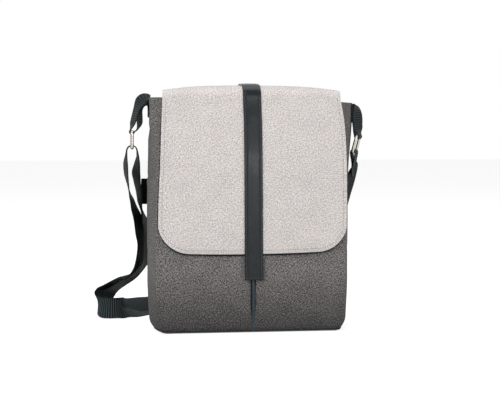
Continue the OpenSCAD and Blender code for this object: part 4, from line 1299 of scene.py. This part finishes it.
OVER_ROUTE = [
    (-60.0, 154.2, 13.1, 0.00, 0.00, 1.00), (-82.0, 151.0, 10.0, 0.00, 0.50, 0.85),
    (-100.0, 146.0, 4.5, -0.10, 0.90, 0.35), (-117.0, 138.0, 1.4, -0.15, 0.98, 0.03),
    (-134.0, 115.5, 4.0, -0.12, 0.97, 0.20), (-150.0, 103.0, 9.2, -0.02, 0.86, 0.50),
    (-156.5, 93.5, 12.7, 0.04, 0.30, 0.95), (-167.5, 91.0, 13.0, 0.02, 0.20, 0.98),
    (-176.7, 94.5, 13.2, 0.04, 0.10, 0.99), (-181.9, 102.0, 15.1, 0.03, -0.00, 1.00),
    (-183.1, 109.0, 19.0, -0.09, -0.09, 0.99), (-180.4, 114.0, 25.7, -0.34, -0.39, 0.86),
    (-175.4, 114.0, 33.2, -0.55, -0.64, 0.54), (-169.0, 109.0, 39.5, -0.71, -0.68, 0.17),
    (-150.6, 90.0, 54.0, -0.58, -0.81, 0.02), (-142.1, 78.0, 58.7, -0.42, -0.91, -0.03),
    (-136.1, 66.0, 65.5, -0.37, -0.93, -0.08), (-131.6, 57.0, 75.0, -0.41, -0.91, -0.05),
    (-129.6, 48.0, 86.3, -0.43, -0.90, 0.02), (-128.7, 40.0, 101.7, -0.43, -0.90, -0.00),
    (-129.9, 34.0, 114.2, -0.47, -0.88, -0.00), (-131.9, 28.0, 123.4, -0.49, -0.87, -0.02),
    (-134.2, 24.0, 131.8, -0.44, -0.90, -0.01), (-138.3, 19.0, 143.7, -0.30, -0.95, -0.02),
    (-141.4, 15.0, 153.1, -0.24, -0.97, -0.01), (-144.3, 11.0, 161.9, -0.09, -1.00, -0.00),
    (-146.0, 8.0, 170.2, -0.02, -1.00, -0.00), (-148.4, 4.0, 182.4, 0.09, -1.00, -0.00),
    (-149.3, 2.0, 189.2, 0.15, -0.99, -0.00), (-150.0, 0.5, 202.1, 0.17, -0.98, -0.00),
    (-149.4, 0.0, 211.3, 0.06, -1.00, -0.00),
]
SINGLE_ROUTE = [
    (30, 154.2, 15.6, 0, 0, 1), (52, 154.2, 14.2, 0, 0, 1), (74, 152.5, 13.6, 0, 0, 1),
    (93, 143, 16, 0, 0.1, 1), (106, 124, 28, 0.1, 0.3, 0.9), (113, 101, 50, 0.2, 0.6, 0.7),
    (117.5, 78, 76, 0.3, 0.85, 0.4), (120.5, 53, 106, 0.5, 0.87, 0.1), (123, 34, 138, 0.6, 0.8, 0),
    (126, 22, 160, 0.64, 0.77, 0), (129.3, 10.5, 180, 0.64, 0.77, 0), (132.6, 3, 196, 0.52, 0.85, 0),
]
EDGE_Z = WEB_W / 2 + 0.6
LEFT_LOW = np.array([-LEFT_X - LEFT_OUT, 0, LEFT_BAR_Z - RING_PITCH])
RIGHT_REACH = RIGHT_OUT - RING_PITCH * math.sin(RIGHT_LEAN)
RIGHT_LOW = np.array([RIGHT_X + RIGHT_REACH * math.cos(RIGHT_YAW), -RIGHT_REACH * math.sin(RIGHT_YAW),
                      RIGHT_BAR_Z - RING_PITCH * math.cos(RIGHT_LEAN)])
STATION_STEP = 2.0
# half the width of the loop in the left ring, and how far its ends hang below the bar
LOOP_HALF, LOOP_FALL = 6.4, 3.6
# where the rings' lower bars were when the routes were laid out
LEFT_LAID, RIGHT_LAID = np.array([-142.4, 0, 221.7]), np.array([132.5, -0.6, 216.4])


def follow(route, low, laid):
    """A point of the route follows its ring in proportion to its height."""
    r = np.array(route, float)
    k = np.clip((r[:, 2] - EDGE_Z) / (laid[2] - EDGE_Z), 0, 1)[:, None]
    r[:, :3] += (low - laid) * k
    return r


def station(p, d):
    return np.concatenate([p, d])


def at_slider(*places):
    return np.array([[x, SLIDER_Y + y, SLIDER_H / 2, 0, 0, 1] for x, y in places])


def strap_pieces():
    """The strap's runs in order, each a line of stations."""
    below = SLIDER_T / 2 + LOOP_GAP + WEB_T / 2
    sewn_end = at_slider((-LAP_L, below + LAYER), (-20, below + LAYER), (-13, below + LAYER),
                         (-9.8, below + LAYER * 0.7), (-7, 1.2), (-5.2, -0.9), (-3, -BAR_LOOP_R * 0.9))
    turn = np.radians(np.arange(-90, 91, 30))
    bar_loop = at_slider(*zip(BAR_LOOP_R * np.cos(turn), BAR_LOOP_R * np.sin(turn)))
    loop_out = at_slider((-3.5, BAR_LOOP_R + 1.4), (-8, below + 2 * LAYER - 0.2), (-13, below + 2 * LAYER),
                         (-24, below + 2 * LAYER), (-36, below + 1.8 * LAYER), (-46, below + 1.2 * LAYER))
    over_bar = at_slider((-46, below), (-24, below), (-14, below), (-11.8, below), (-10, 1.3), (-9.3, -0.5),
                         (-7.7, -2.5), (-4.2, -BAR_LOOP_R - LAYER * 0.95), (0, -BAR_LOOP_R - LAYER),
                         (4.2, -BAR_LOOP_R - LAYER * 0.7), (7.9, -1.7), (9.3, 0.5), (10.3, 1.9),
                         (12, below), (20, below))
    left_turn = [(LOOP_HALF * math.cos(a), 0, (RING_LOOP_R + LOOP_FALL) * math.sin(a) - LOOP_FALL)
                 for a in np.radians(np.arange(0, 181, 20))]
    left_loop = np.array([station(LEFT_LOW + np.array(way), [0, -1, 0]) for way in left_turn])
    around = [math.cos(a) * RIGHT_DIR + math.sin(a) * UPRIGHT for a in np.radians(np.arange(0, 181, 30))]
    right_loop = np.array([station(RIGHT_LOW + RING_LOOP_R * way, RIGHT_ACROSS) for way in around])
    hang = unit(np.array([0, 0.1, -1.0]))

    def by_ring(side, d):
        return station(RIGHT_LOW + RIGHT_DIR * side * (RING_LOOP_R * 0.9 if d < 6 else LAYER / 2) + hang * d,
                       RIGHT_ACROSS)

    right_up = np.array([by_ring(1, d) for d in (14, 4)])
    right_lap = np.array([by_ring(-1, d) for d in (4, 14, 22, LAP_L)])
    inner = np.vstack([curve(sewn_end, 4), bar_loop,
                       curve(np.vstack([loop_out, follow(UNDER_ROUTE, LEFT_LOW, LEFT_LAID)]), 4)])
    outer = curve(np.vstack([follow(OVER_ROUTE, LEFT_LOW, LEFT_LAID)[::-1], over_bar,
                             follow(SINGLE_ROUTE, RIGHT_LOW, RIGHT_LAID), right_up]), 4)
    return inner, left_loop, outer, right_loop, curve(right_lap, 2)


def cut_where(line, test):
    """First index at which a test on the station's place holds."""
    for k, s in enumerate(line):
        if test(s):
            return k
    raise RuntimeError("the strap has no such place")


def make_strap(m):
    inner, left_loop, outer, right_loop, right_lap = strap_pieces()
    start = len(inner) // 4
    leave = start + cut_where(inner[start:], lambda s: s[0] < -100)
    climb = start + cut_where(inner[start:], lambda s: s[2] > 150)
    drop = cut_where(outer, lambda s: s[2] < 152)
    near = cut_where(outer, lambda s: s[1] > 140 and s[0] > -100)
    bar = cut_where(outer, lambda s: s[1] > 140 and s[0] > -1)
    away = cut_where(outer, lambda s: s[0] > 92)
    rise = cut_where(outer, lambda s: s[0] > 100 and s[2] > 140)
    runs = [
        ("strap_inner_at_slider", inner[:leave + 1], ("bag", "slider", (-100, 0, 0), (-52, 0, 0))),
        ("strap_inner_run", inner[leave:climb + 1], None),
        ("strap_left_loop", np.vstack([inner[climb:], left_loop, outer[:drop + 1]]),
         ("bag", "ring_left", (0, 0, 160), (0, 0, 214))),
        ("strap_outer_run", outer[drop:near + 1], None),
        ("strap_outer_at_slider", outer[near:bar + 1], ("bag", "slider", (-100, 0, 0), (-52, 0, 0))),
        ("strap_single_at_slider", outer[bar:away + 1], ("bag", "slider", (92, 0, 0), (30, 0, 0))),
        ("strap_single_run", outer[away:rise + 1], None),
        ("strap_right_loop", np.vstack([outer[rise:], right_loop, right_lap]),
         ("bag", "ring_right", (0, 0, 150), (0, 0, 208))),
    ]
    begin = 0.0
    for name, line, joint in runs:
        keep = np.concatenate([[True], gaps(line) > 0.05])
        line = even(line[keep], STATION_STEP)
        length = float(gaps(line).sum()) * MM
        piece = outward(band(name, line, WEB_W, WEB_T, m["webbing"], start=begin))
        begin += length
        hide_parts("shoulder_strap")
        if joint:
            bend(piece, "webbing", joint[0], joint[1], joint[2], joint[3])
        else:
            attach(piece, "bag")


# ---------------------------------------------------------------------------
# Stitching
# ---------------------------------------------------------------------------


def flap_seam(inset, off):
    """A line round the flap's sides and lower edge, in from the edge."""
    z_side = np.linspace(FOLD_Z - 1, FLAP_Z + CORNER_LEFT, 60)
    z_turn = FLAP_Z + inset + (CORNER_LEFT - inset) * (1 - np.cos(np.radians(np.arange(87, 0, -4))))
    z = np.concatenate([z_side, z_turn, [FLAP_Z + inset]])
    left = np.stack([flap_x(-1.0, z, inset), z], -1)
    right = np.stack([flap_x(1.0, z, inset), z], -1)[::-1]
    bottom = np.stack([np.linspace(left[-1, 0], right[0, 0], 72)[1:-1], np.full(70, FLAP_Z + inset)], -1)
    line = np.vstack([left, bottom, right])
    x, z = line[:, 0], line[:, 1]
    return on_front(x, z + bottom_sag(x, z), FLAP_CLEAR + off + flap_swell(x, z))


def make_stitching(m):
    s = bpy.context.scene.bag_sizes
    proud = s.thread_radius * 0.25
    bend(stitches("flap_topstitch", [flap_seam(4.2, FACE_OUT + proud)], m["light_thread"]),
         "flap_fabric", "flap_top", "flap_front", *FRONT_FOLD)
    rows_front, rows_top = [], []
    for side in (-0.8, 0.8):
        u = np.array([[side]])
        z = np.linspace(STRIP_Z + 2.4, FOLD_Z, 90)[:, None]
        height = FLAP_CLEAR + STRIP_IN + STRIP_T + strip_profile(u, 0) + proud + strip_lie(z, z)
        across, seat = u * STRIP_W / 2, STRIP_IN + strip_profile(u, STRIP_T) + proud
        front = sway(on_front(across + 0 * z, z, height))[:, 0]
        over = arch(across, np.radians(np.arange(3, 90, 5))[:, None], seat)[:, 0]
        rows_front.append(np.vstack([front, over]))
        back = arch(across, np.radians(np.arange(90, 178, 5))[:, None], seat)[:, 0]
        hem_z = np.linspace(FOLD_Z - 1, FOLD_Z - HEM_H + 2.5, 12)[:, None]
        hem = on_back(across + 0 * hem_z, hem_z, seat)[:, 0]
        rows_top.append(np.vstack([back, hem]))
    ends = np.linspace(-0.8, 0.8, 12)
    u = ends[None, :]
    foot = sway(on_front(u * STRIP_W / 2, np.array([[STRIP_Z + 2.4]]),
                         FLAP_CLEAR + STRIP_IN + STRIP_T + strip_profile(u, 0) + proud + 0.1))[0]
    rows_front.append(foot)
    bend(stitches("strip_stitches_front", rows_front, m["dark_thread"]), "leather", "flap_top", "flap_front",
         *FRONT_FOLD)
    bend(stitches("strip_stitches_top", rows_top, m["dark_thread"]), "leather", "bag", "flap_top", *BACK_FOLD)
    half = FLAP_TOP_W / 2 - 4
    x = np.linspace(-half, half, 120)
    hems = [on_back(x, np.full(120, FOLD_Z - HEM_H + d), FACE_OUT + proud) for d in (3.5, 8.0)]
    fix(stitches("hem_stitches", hems, m["light_thread"]), "bag")
    ring = settle(body_outline(BASE_T + 0.5, -LIP_T - proud, 200, 60))
    fix(stitches("base_stitches", [np.vstack([ring, ring[:1]])], m["dark_thread"], pitch=3.4),
        "bag")
    boxes = []
    for side in (-1, 1):
        reach = LOOP_GAP + WEB_T + LAYER + proud
        zs = (RING_DROP - TAB_SEWN + 2.5, RING_DROP - 5)
        corners = [(-10, zs[0]), (10, zs[0]), (10, zs[1]), (-10, zs[1]), (-10, zs[0]), (10, zs[1])]
        for part in (corners, [(10, zs[0]), (-10, zs[1])]):
            line = []
            for (y0, z0), (y1, z1) in zip(part, part[1:]):
                line += [(lerp(y0, y1, t), lerp(z0, z1, t)) for t in np.linspace(0, 1, 12)[:-1]]
            line.append(part[-1])
            p = np.array(line)
            foot, out, across = tab_frame(side)
            lowered = p[:, 1:] - (TAB_DROP_LEFT if side < 0 else TAB_DROP_RIGHT)
            stand = reach - (TAB_DENT if side < 0 else 0)
            boxes.append(foot + stand * out + p[:, :1] * across + lowered * UPRIGHT)
    fix(stitches("tab_stitches", boxes, m["dark_thread"], pitch=2.6), "bag")


# ---------------------------------------------------------------------------
# Stage
# ---------------------------------------------------------------------------


def seen_rays(n):
    """1 for the rays that show a thing, 0 for those that carry light from it."""
    rays = n.add("ShaderNodeLightPath").outputs
    return n.math("MAXIMUM", n.math("MAXIMUM", rays["Is Camera Ray"], rays["Is Glossy Ray"]),
                  rays["Is Transmission Ray"])


CAMERA_AT, CAMERA_YAW = (-0.1828, -1.5313, 0.246), math.radians(-7)


def make_stage():
    scene = bpy.context.scene
    s = scene.bag_stage
    scene.view_settings.view_transform = "Standard"
    cam = bpy.data.cameras.new("camera")
    cam.sensor_width = 36
    cam.lens = 90
    cam.shift_x = -0.004
    cam.shift_y = -0.144
    cam.clip_end = 50
    eye = bpy.data.objects.new("camera", cam)
    eye.location = CAMERA_AT
    eye.rotation_euler = (math.radians(90), 0, CAMERA_YAW)
    scene.collection.objects.link(eye)
    scene.camera = eye

    paper = bpy.data.materials.new("white_paper")
    paper.use_nodes = True
    paper.node_tree.nodes.clear()
    n = Nodes(paper.node_tree)
    lit = n.add("ShaderNodeBsdfPrincipled")
    lit.inputs["Base Color"].default_value = rgba(s.floor_colour)
    lit.inputs["Roughness"].default_value = 0.9
    lit.inputs["Specular IOR Level"].default_value = 0.1
    seen = seen_rays(n)
    glow = n.add("ShaderNodeEmission")
    glow.inputs["Color"].default_value = (1, 1, 1, 1)
    n.put(glow.inputs["Strength"], n.math("MULTIPLY", seen, s.floor_glow))
    both = n.add("ShaderNodeAddShader")
    n.put(both.inputs[0], lit.outputs[0])
    n.put(both.inputs[1], glow.outputs[0])
    out = n.add("ShaderNodeOutputMaterial")
    n.put(out.inputs["Surface"], both.outputs[0])
    # a hair below zero, so that the base and the floor don't share a plane
    size, floor_z = 8.0, -0.0002
    mesh = bpy.data.meshes.new("floor")
    mesh.from_pydata([(-size, -size, floor_z), (size, -size, floor_z), (size, size, floor_z),
                      (-size, size, floor_z)], [], [(0, 1, 2, 3)])
    mesh.materials.append(paper)
    floor = bpy.data.objects.new("floor", mesh)
    scene.collection.objects.link(floor)

    world = bpy.data.worlds.new("studio")
    world.use_nodes = True
    world.node_tree.nodes.clear()
    w = Nodes(world.node_tree)
    seen = seen_rays(w)
    sky = w.add("ShaderNodeBackground")
    sky.inputs["Color"].default_value = (1, 1, 1, 1)
    w.put(sky.inputs["Strength"], w.math("MULTIPLY_ADD", seen, 1.0 - s.room_light, s.room_light))
    w.put(w.add("ShaderNodeOutputWorld").inputs["Surface"], sky.outputs[0])
    scene.world = world

    for name, place, aim, width, height, power in (
        ("key_softbox", (-1.3, -1.9, 1.5), (0, 0, 0.15), 1.2, 1.4, s.key_power),
        ("fill_softbox", (1.9, -1.5, 0.9), (0, 0, 0.15), 1.3, 1.3, s.fill_power),
        ("top_softbox", (0.0, 0.2, 2.3), (0, 0, 0.1), 1.8, 1.6, s.top_power),
        ("front_card", (0.26, -1.75, 0.37), (0, 0, 0.2), 0.5, 0.12, s.card_power),
    ):
        lamp = bpy.data.lights.new(name, "AREA")
        lamp.shape = "RECTANGLE"
        lamp.size, lamp.size_y = width, height
        lamp.energy = power
        obj = bpy.data.objects.new(name, lamp)
        obj.location = place
        obj.rotation_euler = (Vector(aim) - Vector(place)).to_track_quat("-Z", "Y").to_euler()
        scene.collection.objects.link(obj)


# ---------------------------------------------------------------------------
# Add-on
# ---------------------------------------------------------------------------


class BagSizes(PropertyGroup):
    stitch_pitch: FloatProperty(name="Stitch pitch",
                                description="Distance from stitch to stitch, in millimetres",
                                default=3.0, min=1.5, max=6)
    stitch_length: FloatProperty(name="Stitch length", description="Length of a stitch, in millimetres",
                                 default=2.3, min=1, max=5)
    thread_radius: FloatProperty(name="Thread radius", description="Radius of the thread, in millimetres",
                                 default=0.32, min=0.1, max=0.8)
    seed: IntProperty(name="Seed", description="Seed of the stitches' unevenness", default=3, min=0)


class BagColours(PropertyGroup):
    body_cloth: FloatVectorProperty(name="Body cloth", description="Main yarn of the body's melange",
                                    subtype="COLOR", size=3, min=0, max=1, default=(0.129, 0.124, 0.120))
    flap_cloth: FloatVectorProperty(name="Flap cloth", description="Main yarn of the flap's melange",
                                    subtype="COLOR", size=3, min=0, max=1, default=(0.645, 0.607, 0.587))
    lining: FloatVectorProperty(name="Lining", description="Colour of the lining",
                                subtype="COLOR", size=3, min=0, max=1, default=(0.045, 0.046, 0.05))
    leather: FloatVectorProperty(name="Leather", description="Colour of the strip and the base",
                                 subtype="COLOR", size=3, min=0, max=1, default=(0.004, 0.007, 0.009))
    webbing: FloatVectorProperty(name="Webbing", description="Colour of the strap and the tabs",
                                 subtype="COLOR", size=3, min=0, max=1, default=(0.0035, 0.0047, 0.005))
    nickel: FloatVectorProperty(name="Nickel", description="Colour of the plated metal",
                                subtype="COLOR", size=3, min=0, max=1, default=(0.5, 0.47, 0.42))


class BagStage(PropertyGroup):
    key_power: FloatProperty(name="Key light", description="Power of the left softbox, in watts",
                             unit="POWER", default=38.0, min=0)
    fill_power: FloatProperty(name="Fill light", description="Power of the right softbox, in watts",
                              unit="POWER", default=12.0, min=0)
    top_power: FloatProperty(name="Top light", description="Power of the softbox overhead, in watts",
                             unit="POWER", default=20.0, min=0)
    card_power: FloatProperty(name="Front card",
                              description="Power of the small card that the leather reflects, in watts",
                              unit="POWER", default=5.0, min=0)
    room_light: FloatProperty(name="Room light", description="Strength of the light from all round",
                              subtype="FACTOR", default=0.24, min=0, max=1)
    floor_glow: FloatProperty(name="Floor glow", description="Light that the floor adds to its own look",
                              subtype="FACTOR", default=0.78, min=0, max=1)
    floor_colour: FloatVectorProperty(name="Floor", description="Colour of the floor",
                                      subtype="COLOR", size=3, min=0, max=1, default=(0.5, 0.5, 0.5))


def operator(word, label, doc, make):
    """One operator class for a group of pieces, or for the stage."""

    def execute(self, context):
        make(finishes())
        return {"FINISHED"}

    return type("BAG_OT_" + word, (Operator,), {"bl_idname": "bag." + word, "bl_label": label, "__doc__": doc,
                                                "bl_options": {"REGISTER", "UNDO"}, "execute": execute})


PIECES = (
    ("body", "Body", "Make the panels, gussets, lining and label", make_body),
    ("base", "Base", "Make the leather base and the centre piping", make_base),
    ("flap", "Flap", "Make the flap's cloth and its lining", make_flap),
    ("strip", "Strip", "Make the leather strip", make_strip),
    ("hardware", "Metal", "Make the rings and finish the metal", make_hardware),
    ("tabs", "Tabs", "Make the webbing tabs", make_tabs),
    ("strap", "Strap", "Make the shoulder strap", make_strap),
    ("stitching", "Stitching", "Sew the stitch rows", make_stitching),
    ("stage", "Stage", "Set the camera, floor and lights", lambda m: make_stage()),
)
OPERATORS = tuple(operator(*row) for row in PIECES)


class BAG_PT_pieces(Panel):
    """Lists the bag's pieces and its settings"""

    bl_label = "Bag"
    bl_space_type = "VIEW_3D"
    bl_region_type = "UI"
    bl_category = "Bag"

    def draw(self, context):
        for group in (context.scene.bag_sizes, context.scene.bag_colours, context.scene.bag_stage):
            box = self.layout.box()
            for name in group.__annotations__:
                box.prop(group, name)
        for cls in OPERATORS:
            self.layout.operator(cls.bl_idname)


CLASSES = (BagSizes, BagColours, BagStage) + OPERATORS + (BAG_PT_pieces,)


def register():
    for cls in CLASSES:
        bpy.utils.register_class(cls)
    bpy.types.Scene.bag_sizes = PointerProperty(type=BagSizes)
    bpy.types.Scene.bag_colours = PointerProperty(type=BagColours)
    bpy.types.Scene.bag_stage = PointerProperty(type=BagStage)


def unregister():
    del bpy.types.Scene.bag_stage, bpy.types.Scene.bag_colours, bpy.types.Scene.bag_sizes
    for cls in reversed(CLASSES):
        bpy.utils.unregister_class(cls)


def main():
    register()
    bpy.ops.bag.body()
    bpy.ops.bag.base()
    bpy.ops.bag.flap()
    bpy.ops.bag.strip()
    bpy.ops.bag.hardware()
    bpy.ops.bag.tabs()
    bpy.ops.bag.strap()
    bpy.ops.bag.stitching()
    bpy.ops.bag.stage()


if __name__ == "__main__":
    main()
